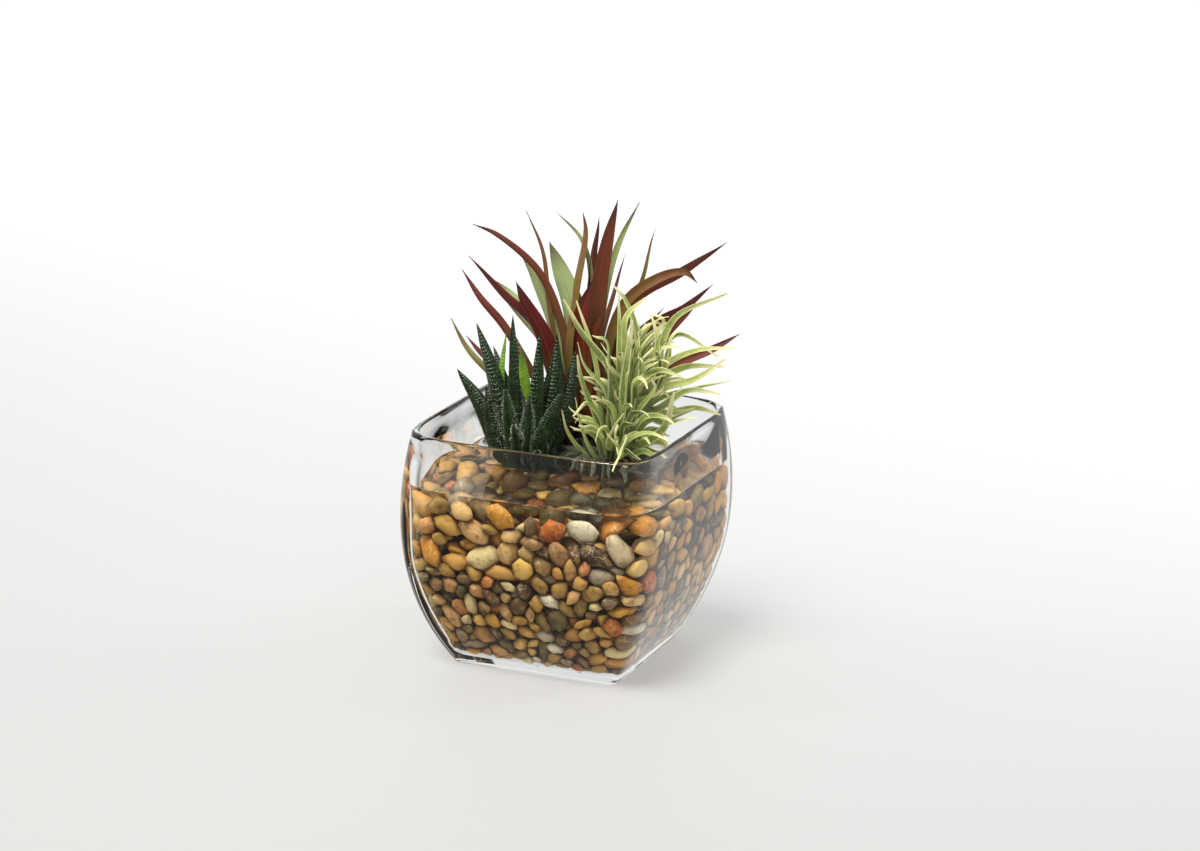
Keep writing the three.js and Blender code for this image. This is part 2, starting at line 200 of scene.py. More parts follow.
def closeSkin(material, graph, colour, roughness, normal, specular=0.5):
    # Ends the material of an opaque surface
    closeMaterial(graph, graph.node("ShaderNodeBsdfPrincipled", {}, {
        "Base Color": colour, "Roughness": roughness, "Specular IOR Level": specular, "Normal": normal,
    }))
    return material


def newTree(name, sockets):
    # A geometry tree with its named inputs: the graph and a wire for each input
    tree = bpy.data.node_groups.new(name, "GeometryNodeTree")
    tree.interface.new_socket("Geometry", in_out="OUTPUT", socket_type="NodeSocketGeometry")
    for label, kind in sockets.items():
        tree.interface.new_socket(label, in_out="INPUT", socket_type="NodeSocket" + kind)
    graph = NodeGraph(tree)
    entry = graph.node("NodeGroupInput")
    return graph, {label: entry.output(label) for label in sockets}


def closeTree(graph, geometry, skin):
    realized = graph.node("GeometryNodeRealizeInstances", {}, {"Geometry": geometry})
    finished = graph.node("GeometryNodeSetMaterial", {}, {"Geometry": realized, "Material": skin})
    graph.node("NodeGroupOutput", {}, {"Geometry": finished})
    return graph.tree


def newObject(name, data):
    piece = bpy.data.objects.new(name, data)
    bpy.context.scene.collection.objects.link(piece)
    return piece


def shapeByTree(name, source, tree, values):
    # Runs a geometry tree on a source mesh and keeps the result as a plain mesh
    modifier = source.modifiers.new(name, "NODES")
    modifier.node_group = tree
    for item in tree.interface.items_tree:
        if item.in_out == "INPUT" and item.name in values:
            modifier[item.identifier] = values[item.name]
    graph = bpy.context.evaluated_depsgraph_get()
    mesh = bpy.data.meshes.new_from_object(
        source.evaluated_get(graph), preserve_all_data_layers=True, depsgraph=graph
    )
    source.modifiers.remove(modifier)
    bpy.data.objects.remove(source)
    mesh.name = name
    return newObject(name, mesh)


def tidyMesh(mesh):
    # Faces outwards on every closed shell, shaded smooth
    form = bmesh.new()
    form.from_mesh(mesh)
    bmesh.ops.recalc_face_normals(form, faces=form.faces)
    form.to_mesh(mesh)
    form.free()
    mesh.shade_smooth()


def stitchRings(name, rings, slots):
    # Skins rings of equal count, with single points as poles; slots give the material of each band
    points, faces, faceSlots, starts = [], [], [], []
    for ring in rings:
        starts.append(len(points))
        points.extend(ring)
    for k, (low, high) in enumerate(zip(rings, rings[1:])):
        count = max(len(low), len(high))
        for i in range(count):
            j = (i + 1) % count
            corners = [
                starts[k] + i % len(low), starts[k] + j % len(low),
                starts[k + 1] + j % len(high), starts[k + 1] + i % len(high),
            ]
            faces.append(tuple(dict.fromkeys(corners)))
            faceSlots.append(slots[k])
    mesh = bpy.data.meshes.new(name)
    mesh.from_pydata(points, [], faces)
    mesh.polygons.foreach_set("material_index", faceSlots)
    tidyMesh(mesh)
    return mesh


def addAttribute(mesh, name, kind, values):
    layer = mesh.attributes.new(name, kind, "POINT")
    flat = np.array(values, dtype=np.int32 if kind == "INT" else np.float32).ravel()
    layer.data.foreach_set("vector" if kind == "FLOAT_VECTOR" else "value", flat)


def draw(seed, index, low, high):
    # Seeded draw between low and high, the same for the same pair of whole numbers
    wave = math.sin(seed * 127.1 + index * 311.7) * 43758.5453
    return low + (high - low) * (wave - math.floor(wave))


def drawDirection(seed, index):
    return Vector([draw(seed + axis, index, -1, 1) for axis in range(3)]).normalized()


def blend(start, end, share):
    return start + (end - start) * share


def keepPiece(piece, slotName, *nodes):
    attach(piece, "root")
    if nodes:
        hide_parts(*nodes)
    print(piece.name, len(piece.data.polygons), "faces")


camera = {
    "targetHeight": 60, "distance": 2195.6, "azimuth": 23.44, "elevation": 18.04,
    "lens": 119.9, "pan": 0.44, "tilt": 1.70, "roll": -0.78,
}


def makeCamera():
    azimuth = math.radians(camera["azimuth"])
    elevation = math.radians(camera["elevation"])
    level = math.cos(elevation)
    back = Vector((math.sin(azimuth) * level, -math.cos(azimuth) * level, math.sin(elevation)))
    up = Vector((0, 0, 1))
    right = (-back).cross(up).normalized()
    lift = right.cross(-back)
    pan = math.tan(math.radians(camera["pan"]))
    tilt = math.tan(math.radians(camera["tilt"]))
    ahead = (-back + right * pan + lift * tilt).normalized()
    right = ahead.cross(up).normalized()
    lift = right.cross(ahead)
    turned = Matrix.Rotation(math.radians(camera["roll"]), 3, ahead)
    right = turned @ right
    lift = turned @ lift
    lens = bpy.data.cameras.new("photoCamera")
    lens.lens = camera["lens"]
    lens.sensor_width = 36
    lens.clip_start = 0.05
    lens.clip_end = 50
    piece = newObject("photoCamera", lens)
    axes = Matrix((right, lift, -ahead)).transposed().to_4x4()
    place = Vector((0, 0, camera["targetHeight"] * mm)) + back * camera["distance"] * mm
    piece.matrix_world = Matrix.Translation(place) @ axes
    bpy.context.scene.camera = piece


studio = {
    "floorSize": 9.0, "floorColour": rgb(160, 159, 157), "floorGlow": (0.2, 0.8),
    "glowBehind": (-0.45, 1.2), "glowAround": (0.6, 1.6),  # metres over which the floor brightens
    "glowDirection": (0.5, 1, 0), "glassFloorStep": 0.05, "glassFloorShare": 0.9,
    "glassFloor": ((0.2, 0.185, 0.15, 1), (0.9, 0.91, 0.92, 1)),  # what the glass shows, before and behind it
    "lamps": [  # name, place to the right, away and up in metres, width, height, watts
        ("topSoftbox", (-0.3, -0.35, 1.2), 0.45, 0.45, 14.5),
        ("frontSoftbox", (0.45, -1.3, 0.8), 0.5, 0.5, 4.0),
        ("leftStrip", (-1.0, 0.15, 0.75), 0.2, 0.6, 2.4),
        ("rightStrip", (1.05, 0.25, 0.75), 0.2, 0.6, 2.4),
    ],
    "aim": 0.1, "backdrop": 1.0, "overhead": 0.7, "leftSide": 0.16, "rightSide": 0.6, "cameraSide": 0.22,
    "seen": 1.2,  # the surroundings in the picture itself
    "edges": {  # where each of them begins, as the cosine of the angle from its middle, and how softly
        "sides": (0.0, 0.6), "cameraSide": (0.3, 0.4), "backdrop": (0.35, 0.25), "overhead": (0.55, 0.2),
    },
}


def makeStudio():
    turn = Matrix.Rotation(math.radians(camera["azimuth"]), 3, "Z")
    aim = Vector((0, 0, studio["aim"]))
    for name, place, width, height, watts in studio["lamps"]:
        data = bpy.data.lights.new(name, "AREA")
        data.shape = "RECTANGLE"
        data.size = width
        data.size_y = height
        data.energy = watts
        lamp = newObject(name, data)
        lamp.location = turn @ Vector(place)
        lamp.rotation_euler = (aim - lamp.location).to_track_quat("-Z", "Y").to_euler()
        lamp.visible_camera = False
    makeSurroundings(turn)
    makeFloor(turn)
    bpy.context.scene.view_settings.view_transform = "Standard"


def makeSurroundings(turn):
    # White for the picture's own background, and a lit backdrop and darker sides for what the glass shows
    world = bpy.data.worlds.new("studio")
    bpy.context.scene.world = world
    world.use_nodes = True
    world.node_tree.nodes.clear()
    graph = NodeGraph(world.node_tree)
    direction = graph.node("ShaderNodeTexCoord", output="Generated")
    right, away, height = [graph.measure("DOT_PRODUCT", direction, axis) for axis in turn.transposed()]
    edges = studio["edges"]
    level = blend(studio["leftSide"], studio["rightSide"], right.above(*edges["sides"]))
    level = blend(level, studio["cameraSide"], (away * -1).above(*edges["cameraSide"]))
    level = blend(level, studio["backdrop"], away.above(*edges["backdrop"]))
    level = blend(level, studio["overhead"], height.above(*edges["overhead"]))
    level = blend(level, studio["seen"], graph.ray("Camera"))
    light = graph.node("ShaderNodeBackground", {}, {"Strength": level})
    graph.node("ShaderNodeOutputWorld", {}, {"Surface": light})


def makeFloor(turn):
    material, graph = newMaterial("paleFloor")
    place = graph.place()
    grain = graph.noise(place, 40)
    away = graph.measure("DOT_PRODUCT", place, turn @ Vector(studio["glowDirection"]).normalized())
    distance = graph.measure("LENGTH", place)
    rises = []
    for measure, (start, end) in ((away, studio["glowBehind"]), (distance, studio["glowAround"])):
        rises.append(measure.above((start + end) / 2, (end - start) / 2))
    far = away.maths("MAXIMUM", *rises)
    glow = [(level, level, level, 1) for level in studio["floorGlow"]]
    shader = graph.node("ShaderNodeBsdfPrincipled", {}, {
        "Base Color": studio["floorColour"], "Roughness": 0.5 + 0.1 * grain,
        "Emission Color": graph.mix(far, *glow), "Emission Strength": 1.0,
    })
    # Painted reflection: to glossy rays the floor glows, dark in front of the vase and bright behind it
    dark, bright = [graph.node("ShaderNodeEmission", {}, {"Color": tone}) for tone in studio["glassFloor"]]
    step = studio["glassFloorStep"]
    inGlass = graph.node("ShaderNodeMixShader", {}, {0: away.above(-step, step), 1: dark, 2: bright})
    mirrored = graph.ray("Glossy") * studio["glassFloorShare"]
    closeMaterial(graph, graph.node("ShaderNodeMixShader", {}, {0: mirrored, 1: shader, 2: inGlass}))
    half = studio["floorSize"] / 2
    corners = [(-half, -half, 0), (half, -half, 0), (half, half, 0), (-half, half, 0)]
    mesh = bpy.data.meshes.new("floor")
    mesh.from_pydata(corners, [], [(0, 1, 2, 3)])
    mesh.materials.append(material)
    floor = newObject("floor", mesh)


vase = {
    "height": 132, "widest": 150, "widestHeight": 91, "sideArc": 168,
    "squareBase": 16, "squareMiddle": 5.5, "squareRim": 7,  # the higher the number, the squarer the plan
    "wall": 6, "rimWall": 2.6, "thinFrom": 75, "thinTo": 105,
    "straightInside": (68.0, 0.035), "insideBlend": 0.4,  # half width at the water line, and lean
    "floor": 6.5, "footBevel": 1.2, "floorFillet": 9,
    "cavityRoundness": (0.66, 0.97, 0.88), "roundTo": 70, "roundAgain": (103, 118),
    "columns": 208, "rows": 46, "rimBands": 12, "dryBands": 8, "wetBands": 32, "filletBands": 8,
    "cornerCrowding": 0.17,
    "wetWave": 0.2, "dryWave": 0.5, "outerWave": 0.07, "waveLength": 26, "waveStretch": 0.35,
    "waveRises": 8, "waveFades": 10,  # above the water, and under the rim
}
water = {"level": 102, "bottom": 91, "meniscus": 0.8, "meniscusReach": 1.3, "edge": 5}


def outerHalf(z):
    arc = vase["sideArc"]
    return vase["widest"] / 2 - arc + (arc ** 2 - (z - vase["widestHeight"]) ** 2) ** 0.5


def squareness(z):
    t = np.clip(z / vase["height"], 0, 1)
    lower = vase["squareBase"] * (1 - t) ** 2 + 2 * vase["squareMiddle"] * t * (1 - t)
    return lower + vase["squareRim"] * t ** 2


def smoothStep(value, start, end):
    share = np.clip((value - start) / (end - start), 0, 1)
    return share * share * (3 - 2 * share)


def cavitySquareness(z):
    # The cavity is rounder than the outside near the floor and near the rim, and nearly follows it in between
    low, middle, high = vase["cavityRoundness"]
    start, end = vase["roundAgain"]
    roundness = blend(low, middle, smoothStep(z, 0, vase["roundTo"]))
    return squareness(z) * blend(roundness, high, smoothStep(z, start, end))


def innerHalf(z):
    # Half width of the cavity at a height: a round joins it to the floor, and it stands almost straight from
    # the water line up
    fillet = vase["floorFillet"]
    top = vase["floor"] + fillet
    rise = np.clip(z - vase["floor"], 0, fillet)
    sweep = np.sqrt(np.maximum(fillet ** 2 - (fillet - rise) ** 2, 0))
    low = outerHalf(top) - vase["wall"] - fillet + sweep
    thinning = np.clip((z - vase["thinFrom"]) / (vase["thinTo"] - vase["thinFrom"]), 0, 1)
    along = outerHalf(np.maximum(z, top)) - blend(vase["wall"], vase["rimWall"], thinning)
    atWaterLine, lean = vase["straightInside"]
    straight = atWaterLine + lean * (z - water["level"])
    soft = vase["insideBlend"]
    nearer = straight - soft * np.log(np.exp(-(along - straight) / soft) + 1)
    return np.where(z < top, low, nearer)


def planRing(half, z, wave=0.0, power=None):
    # Rounded-square ring of a half width at a height, with the slight waviness of pressed glass
    power = power or squareness(z)
    ring = []
    for k in range(vase["columns"]):
        turn = 2 * math.pi * k / vase["columns"]
        turn += vase["cornerCrowding"] * math.sin(4 * turn)
        c = math.cos(turn)
        s = math.sin(turn)
        reach = half / (abs(c) ** power + abs(s) ** power) ** (1 / power)
        point = Vector((reach * c, reach * s, z))
        if wave:
            spot = Vector((point.x, point.y, z * vase["waveStretch"])) / vase["waveLength"]
            push = wave * noise.noise(spot)
            point += Vector((c, s, 0)) * push
        ring.append(point * mm)
    return ring


def wallRing(z):
    # The inside of the wall waves more above the water, and less again towards the rim
    rise = np.clip((z - water["level"]) / vase["waveRises"], 0, 1)
    fade = np.clip((vase["height"] - z) / vase["waveFades"], 0, 1)
    wave = blend(vase["wetWave"], vase["dryWave"], float(rise * fade))
    return planRing(float(innerHalf(z)), z, wave, float(cavitySquareness(z)))


def glassMaterial(name, ior, tint, shadowTint):
    # Clear glass that lets the lamps and the soft light through to what stands inside
    material, graph = newMaterial(name)
    clear = graph.node("ShaderNodeBsdfPrincipled", {}, {
        "Base Color": tint, "Roughness": 0.0, "IOR": ior, "Transmission Weight": 1.0,
    })
    through = graph.node("ShaderNodeBsdfTransparent", {}, {"Color": shadowTint})
    shadow = graph.ray("Shadow")
    share = shadow.maths("MAXIMUM", shadow, graph.ray("Diffuse"))
    mixed = graph.node("ShaderNodeMixShader", {}, {0: share, 1: clear, 2: through})
    closeMaterial(graph, mixed)
    return material


glassLook = {
    "ior": 1.5, "waterIor": 1.33, "tint": (0.97, 0.985, 0.972, 1), "shadowTint": (0.985, 0.99, 0.985, 1),
}


def makeVase():
    wetLine = water["level"] + water["meniscus"]
    rim = vase["rimWall"] / 2
    shoulder = vase["height"] - rim
    bevel = vase["footBevel"]
    rings = [[Vector((0, 0, 0))]]
    for share in (0.3, 0.6, 0.85):
        rings.append(planRing((outerHalf(0) - bevel) * share, 0))
    for k in range(5):  # rounded foot
        turn = (k / 4) * math.pi / 2
        z = bevel * (1 - math.cos(turn))
        rings.append(planRing(outerHalf(bevel) - bevel * (1 - math.sin(turn)), z))
    for k in range(1, vase["rows"] + 1):
        z = blend(bevel, shoulder, k / vase["rows"])
        rings.append(planRing(outerHalf(z), z, vase["outerWave"]))
    for k in range(1, vase["rimBands"]):  # fire-polished rim
        turn = math.pi * k / vase["rimBands"]
        middle = outerHalf(shoulder) - rim
        z = shoulder + rim * math.sin(turn)
        power = blend(squareness(shoulder), float(cavitySquareness(shoulder)), k / vase["rimBands"])
        rings.append(planRing(middle + rim * math.cos(turn), z, vase["outerWave"], power))
    for k in range(vase["dryBands"] + 1):
        rings.append(wallRing(blend(shoulder, wetLine, k / vase["dryBands"])))
    firstWet = len(rings) - 1
    filletTop = vase["floor"] + vase["floorFillet"]
    for k in range(1, vase["wetBands"] + 1):
        rings.append(wallRing(blend(wetLine, filletTop, k / vase["wetBands"])))
    for k in range(1, vase["filletBands"] + 1):
        turn = (k / vase["filletBands"]) * math.pi / 2
        rings.append(wallRing(filletTop - vase["floorFillet"] * math.sin(turn) * 0.9999))
    for share in (0.8, 0.5, 0.2):
        floorHalf = float(innerHalf(vase["floor"])) * share
        rings.append(planRing(floorHalf, vase["floor"], 0, float(cavitySquareness(vase["floor"]))))
    rings.append([Vector((0, 0, vase["floor"] * mm))])
    slots = [1 if k >= firstWet else 0 for k in range(len(rings) - 1)]
    mesh = stitchRings("vaseGlass", rings, slots)
    wetIor = glassLook["ior"] / glassLook["waterIor"]
    for name, ior in (("clearGlass", glassLook["ior"]), ("wetGlass", wetIor)):
        mesh.materials.append(glassMaterial(name, ior, glassLook["tint"], glassLook["shadowTint"]))
    keepPiece(newObject("vaseGlass", mesh), "glass", "vase_glass")


def makeWater():
    # The water over the stones: a still surface that climbs a little where it meets the glass
    level = water["level"]
    edge = float(innerHalf(level))
    rings = [[Vector((0, 0, level * mm))]]
    for share in (0.1, 0.25, 0.4, 0.55, 0.7, 0.82, 0.9):
        rings.append(planRing(edge * share, level, 0, float(cavitySquareness(level))))
    for k in range(9):
        gap = water["edge"] * (1 - k / 8) ** 1.5
        z = level + water["meniscus"] * math.exp(-gap / water["meniscusReach"])
        ring = wallRing(z)
        rings.append([Vector((p.x, p.y, 0)) * (1 - gap / edge) + Vector((0, 0, z * mm)) for p in ring])
    topBands = len(rings) - 1
    for share in (1, 0.5, 0):
        rings.append(wallRing(blend(water["bottom"], level - 1, share)))
    rings.append(planRing(edge * 0.5, water["bottom"], 0, float(cavitySquareness(level))))
    rings.append([Vector((0, 0, water["bottom"] * mm))])
    slots = [0 if k < topBands else 1 for k in range(len(rings) - 1)]
    mesh = stitchRings("waterSurface", rings, slots)
    mesh.materials.append(glassMaterial("stillWater", glassLook["waterIor"], (1, 1, 1, 1), (1, 1, 1, 1)))
    material, graph = newMaterial("waterAgainstGlass")
    closeMaterial(graph, graph.node("ShaderNodeBsdfTransparent"))
    mesh.materials.append(material)
    keepPiece(newObject("waterSurface", mesh), "water", "water")


pebbles = {
    "count": 1680, "radius": 4.6, "spread": 0.23, "sizeLimits": (0.68, 1.45), "seed": 11,
    "long": (1.08, 1.7), "flat": (0.56, 0.92), "variants": 12, "lump": 0.19,
    "wornFlat": (0.62, 1.1), "brokenFlat": (0.6, 0.75), "flatShare": 0.85,  # how far out flats cut
    "top": 102.2, "topUneven": 0.8, "largerOnTop": 0.36, "wallGap": 0.5,
    "wallReach": 14, "wallLean": 1.6, "floorReach": 12, "floorLean": 2.5, "tilt": 0.38, "spin": 0.7,
    "rounds": (60, 110), "neighbours": 16, "closeness": 0.985, "push": 0.3, "sink": 0.07,
    "stemDepth": 44, "keepClear": (9.5, 4.5, 8), "creviceDepth": 1.1,
    "plantShadow": {"above": 89, "within": 57, "rightOf": -34, "softness": 3},  # painted shadow of the plants
    "large": [  # place, half sizes and shade of the few big stones that reach the water's surface
        ((-52, -14, 98), (8.0, 6.4, 5.4), 0.93),
        ((28, -46, 97.5), (7.4, 6.2, 5.6), 0.82),
        ((44, 26, 97.5), (7.4, 6.5, 5.4), 0.25),
    ],
    "colours": [  # shade of a stone, drawn from 0 to 1, and its colour
        (0.00, (206, 138, 38)), (0.09, (226, 184, 98)), (0.17, (184, 122, 52)),
        (0.25, (236, 212, 150)), (0.32, (138, 112, 56)), (0.40, (214, 160, 74)),
        (0.48, (96, 86, 54)), (0.55, (190, 134, 82)), (0.63, (230, 196, 120)),
        (0.70, (186, 92, 40)), (0.75, (208, 144, 44)), (0.82, (238, 226, 192)),
        (0.88, (122, 86, 50)), (0.94, (54, 50, 40)), (1.00, (210, 158, 80)),
    ],
}
planting = {"turn": 23.4, "clearOfGlass": 56}
rosette = {"at": (-25, 0), "stem": 4, "crown": 8, "rise": 5, "crownHeight": 106, "rootSpread": 0.6}
grass = {
    "at": (23, -6), "stem": 3.4, "crown": 6, "rise": 4, "crownHeight": 108, "rootSpread": 0.5,
    "heart": (36, 146),  # where the leaning stem ends, to the right and up
}
redPlant = {"at": (7, 29), "stem": 3.6, "crown": 5.5, "rise": 4.5, "crownHeight": 110, "rootSpread": 0.62}
plantTurn = Matrix.Rotation(math.radians(planting["turn"]), 3, "Z")


def addShape(shapes, name, form):
    # Adds one shape to a collection that scatter picks from
    mesh = bpy.data.meshes.new(name)
    form.to_mesh(mesh)
    form.free()
    shapes.objects.link(bpy.data.objects.new(name, mesh))


def stoneShapes():
    # A few rounded, slightly uneven stones, some with a worn flat
    shapes = bpy.data.collections.new("stoneShapes")
    for k in range(pebbles["variants"]):
        form = bmesh.new()
        bmesh.ops.create_icosphere(form, subdivisions=2, radius=1)
        flats = [(drawDirection(61, k), draw(64, k, *pebbles["wornFlat"]))]
        if k % 3 == 2:  # broken stones have several worn flats
            for i in range(5):
                flats.append((drawDirection(65, 9 * k + i), draw(68, 9 * k + i, *pebbles["brokenFlat"])))
        for point in form.verts:
            lump = noise.noise(point.co * 1.1 + Vector((k * 5.3, 0, 0)))
            point.co *= 1 + pebbles["lump"] * 2 * lump
            for facing, cut in flats:
                over = point.co.dot(facing) - cut
                if over > 0:
                    point.co -= facing * over * pebbles["flatShare"]
        addShape(shapes, f"stone{k}", form)
    return shapes


def turnFrames(short, spin):
    # For each stone, three axes: long, middle and short, with the short axis given and a spin about it
    helper = np.where(np.abs(short[:, 2:3]) < 0.9, [[0.0, 0.0, 1.0]], [[1.0, 0.0, 0.0]])
    side = np.cross(helper, short)
    side /= np.linalg.norm(side, axis=1, keepdims=True)
    other = np.cross(short, side)
    c = np.cos(spin)[:, None]
    s = np.sin(spin)[:, None]
    longAxis = side * c + other * s
    return np.stack([longAxis, np.cross(short, longAxis), short], axis=1)


def wallGap(place):
    # Distance to the inside of the glass, and the direction away from it
    x, y, z = place.T
    power = cavitySquareness(z)
    rho = (np.abs(x) ** power + np.abs(y) ** power) ** (1 / power) + 1e-6
    slope = innerHalf(z + 0.5) - innerHalf(z - 0.5)
    away = np.stack([
        -np.sign(x) * (np.abs(x) / rho) ** (power - 1), -np.sign(y) * (np.abs(y) / rho) ** (power - 1),
        np.clip(slope, -3, 3),
    ], axis=1)
    size = np.linalg.norm(away, axis=1)
    return (innerHalf(z) - rho) / size, away / size[:, None]


def settleStones():
    # Packs stones into the vase: pushes overlapping neighbours apart, and keeps them off the glass and stems
    pick = np.random.default_rng(pebbles["seed"])
    count = pebbles["count"]
    spread = np.exp(pick.normal(0, pebbles["spread"], count))
    radius = pebbles["radius"] * spread.clip(*pebbles["sizeLimits"])
    longest = radius * pick.uniform(*pebbles["long"], count)
    shortest = radius * pick.uniform(*pebbles["flat"], count)
    half = np.stack([longest, radius ** 3 / (longest * shortest), shortest], axis=1)
    reach = vase["widest"] / 2 - vase["wall"]
    place = pick.uniform((-reach, -reach, vase["floor"] + 4), (reach, reach, pebbles["top"] - 4), (count, 3))
    half *= (1 + pebbles["largerOnTop"] * (place[:, 2:] / pebbles["top"] - 0.5))
    depth = wallGap(place)[0]
    place[:, :2] *= np.where(depth < 4, 0.85, 1)[:, None]
    for k, (at, size, _) in enumerate(pebbles["large"]):
        place[k] = at
        half[k] = size
    axes = turnFrames(np.tile([0.0, 0.0, 1.0], (count, 1)), pick.uniform(0, 6.28, count))
    plants = zip((rosette, grass, redPlant), pebbles["keepClear"])
    stems = [(plantTurn @ Vector((*plant["at"], 0)), plant["stem"], clear) for plant, clear in plants]
    ceiling = pebbles["top"] + pick.normal(0, pebbles["topUneven"], count)
    for stage, rounds in enumerate(pebbles["rounds"]):
        if stage == 1:
            axes = layFlat(place, pick)
        for step in range(rounds):
            if step % 8 == 0:
                apart = np.linalg.norm(place[:, None] - place[None], axis=2)
                pairs = np.nonzero(np.triu(apart < pebbles["neighbours"], 1))
            pushApart(place, axes, half, *pairs)
            place[:, 2] -= pebbles["sink"]
            keepInside(place, axes, half, stems, ceiling)
            for k, (at, _, _) in enumerate(pebbles["large"]):
                place[k] = at
    return place, axes, half, pick


def layFlat(place, pick):
    # Flat sides against the glass near the wall, roughly level elsewhere
    gap, away = wallGap(place)
    near = (1 - gap / pebbles["wallReach"]).clip(0, 1)[:, None]
    low = (1 - (place[:, 2:] - vase["floor"]) / pebbles["floorReach"]).clip(0, 1)
    upright = np.array([[0, 0, 1.0]])
    lean = away * near * pebbles["wallLean"] + upright * (1 - near + pebbles["floorLean"] * low)
    lean += pick.normal(0, pebbles["tilt"], place.shape)
    short = lean / np.linalg.norm(lean, axis=1, keepdims=True)
    return turnFrames(short, pick.normal(0, pebbles["spin"], len(place)) * (1 + 2 * (1 - near[:, 0])))


def pushApart(place, axes, half, first, second):
    # Moves each overlapping pair of stones apart, along the line between them
    line = place[second] - place[first]
    distance = np.linalg.norm(line, axis=1) + 1e-6
    line /= distance[:, None]
    span = np.zeros(len(first))
    for end in (first, second):
        span += 1 / np.linalg.norm(np.einsum("ijk,ik->ij", axes[end], line) / half[end], axis=1)
    push = (span * pebbles["closeness"] - distance).clip(0) * pebbles["push"]
    for axis in range(3):
        move = push * line[:, axis]
        place[:, axis] += np.bincount(second, move, len(place)) - np.bincount(first, move, len(place))


def support(axes, half, direction):
    # How far each stone reaches from its middle along a direction
    return np.linalg.norm(np.einsum("ijk,ik->ij", axes, direction) * half, axis=1)


def keepInside(place, axes, half, stems, ceiling):
    gap, away = wallGap(place)
    short = (support(axes, half, away) + pebbles["wallGap"] - gap).clip(0)
    place += away * short[:, None]
    upright = np.tile([0.0, 0.0, 1.0], (len(place), 1))
    tall = support(axes, half, upright)
    place[:, 2] = np.minimum(place[:, 2], ceiling - tall)
    place[:, 2] = np.maximum(place[:, 2], vase["floor"] + 0.3 + tall)
    for middle, stem, clear in stems:
        line = place - np.array([[middle.x, middle.y, 0]])
        line[:, 2] = 0
        distance = np.linalg.norm(line, axis=1) + 1e-6
        line /= distance[:, None]
        near = place[:, 2] > pebbles["top"] - pebbles["stemDepth"]
        room = np.where(place[:, 2] > pebbles["top"] - 10, clear, stem + 0.5)
        push = (support(axes, half, line) + room - distance).clip(0) * near
        place += line * push[:, None]


def scatterTree():
    # Sets one of several shapes on every point, turned and sized by the point's own values
    graph, entry = newTree("scatterShapes", {
        "Points": "Geometry", "Shapes": "Collection", "Skin": "Material", "Size": "Float",
    })
    shapes = graph.node("GeometryNodeCollectionInfo", {}, {
        "Collection": entry["Shapes"], "Separate Children": True, "Reset Children": True,
    })
    turn = graph.node("FunctionNodeEulerToRotation", {}, {0: graph.value("turn", "FLOAT_VECTOR")})
    size = graph.node(
        "ShaderNodeVectorMath", {"operation": "SCALE"},
        {0: graph.value("size", "FLOAT_VECTOR"), "Scale": entry["Size"]},
    )
    placed = graph.node("GeometryNodeInstanceOnPoints", {}, {
        "Points": entry["Points"], "Instance": shapes, "Pick Instance": True,
        "Instance Index": graph.value("shape", "INT"), "Rotation": turn, "Scale": size,
    })
    return closeTree(graph, placed, entry["Skin"])


def scatter(name, points, turns, sizes, shapeNumbers, shades, shapes, material):
    mesh = bpy.data.meshes.new(name + "Points")
    mesh.from_pydata(points, [], [])
    addAttribute(mesh, "turn", "FLOAT_VECTOR", turns)
    addAttribute(mesh, "size", "FLOAT_VECTOR", sizes)
    addAttribute(mesh, "shape", "INT", shapeNumbers)
    addAttribute(mesh, "shade", "FLOAT", shades)
    addAttribute(mesh, "number", "INT", range(len(points)))
    source = newObject(name + "Points", mesh)
    values = {"Shapes": shapes, "Skin": material, "Size": 1.0}
    piece = shapeByTree(name, source, scatterShapes, values)
    for extra in ("turn", "size", "shape"):
        layer = piece.data.attributes.get(extra)
        if layer:
            piece.data.attributes.remove(layer)
    tidyMesh(piece.data)
    for shape in list(shapes.objects):
        bpy.data.objects.remove(shape)
    bpy.data.collections.remove(shapes)
    return piece


def addCreviceShade(piece, place, axes, half):
    # Marks the points of each stone that lie close to a neighbour, for painted shade in the gaps between
    # stones
    mesh = piece.data
    points = np.empty(len(mesh.vertices) * 3, np.float32)
    mesh.vertices.foreach_get("co", points)
    points = points.reshape(-1, 3) / mm
    number = np.empty(len(mesh.vertices), np.int32)
    mesh.attributes["number"].data.foreach_get("value", number)
    members = np.argsort(number, kind="stable").reshape(len(place), -1)
    apart = np.linalg.norm(place[:, None] - place[None], axis=2)
    first, second = np.nonzero((apart < 17) & (apart > 0))
    offset = points[members[first]] - place[second][:, None]
    reach = np.linalg.norm(np.einsum("pij,pkj->pki", axes[second], offset) / half[second][:, None], axis=2)
    gap = (reach - 1) * half[second].mean(axis=1)[:, None]
    nearest = np.full(len(points), 50.0)
    np.minimum.at(nearest, members[first], gap)
    addAttribute(mesh, "crevice", "FLOAT", np.exp(-nearest.clip(0) / pebbles["creviceDepth"]))


def plantShadowFilm(graph):
    # Painted shadow of the plants: 1 on the top stones in the middle of the vase, away from the glass
    plantShadow = pebbles["plantShadow"]
    soft = plantShadow["softness"] * mm
    place = graph.split(graph.place())
    outermost = place.maths("MAXIMUM", abs(place), abs(place.output("Y")))
    inner = 1 - outermost.above(plantShadow["within"] * mm, soft)
    shadowed = place.output("Z").above(plantShadow["above"] * mm, soft) * inner
    return shadowed * place.above(plantShadow["rightOf"] * mm, 4 * soft)


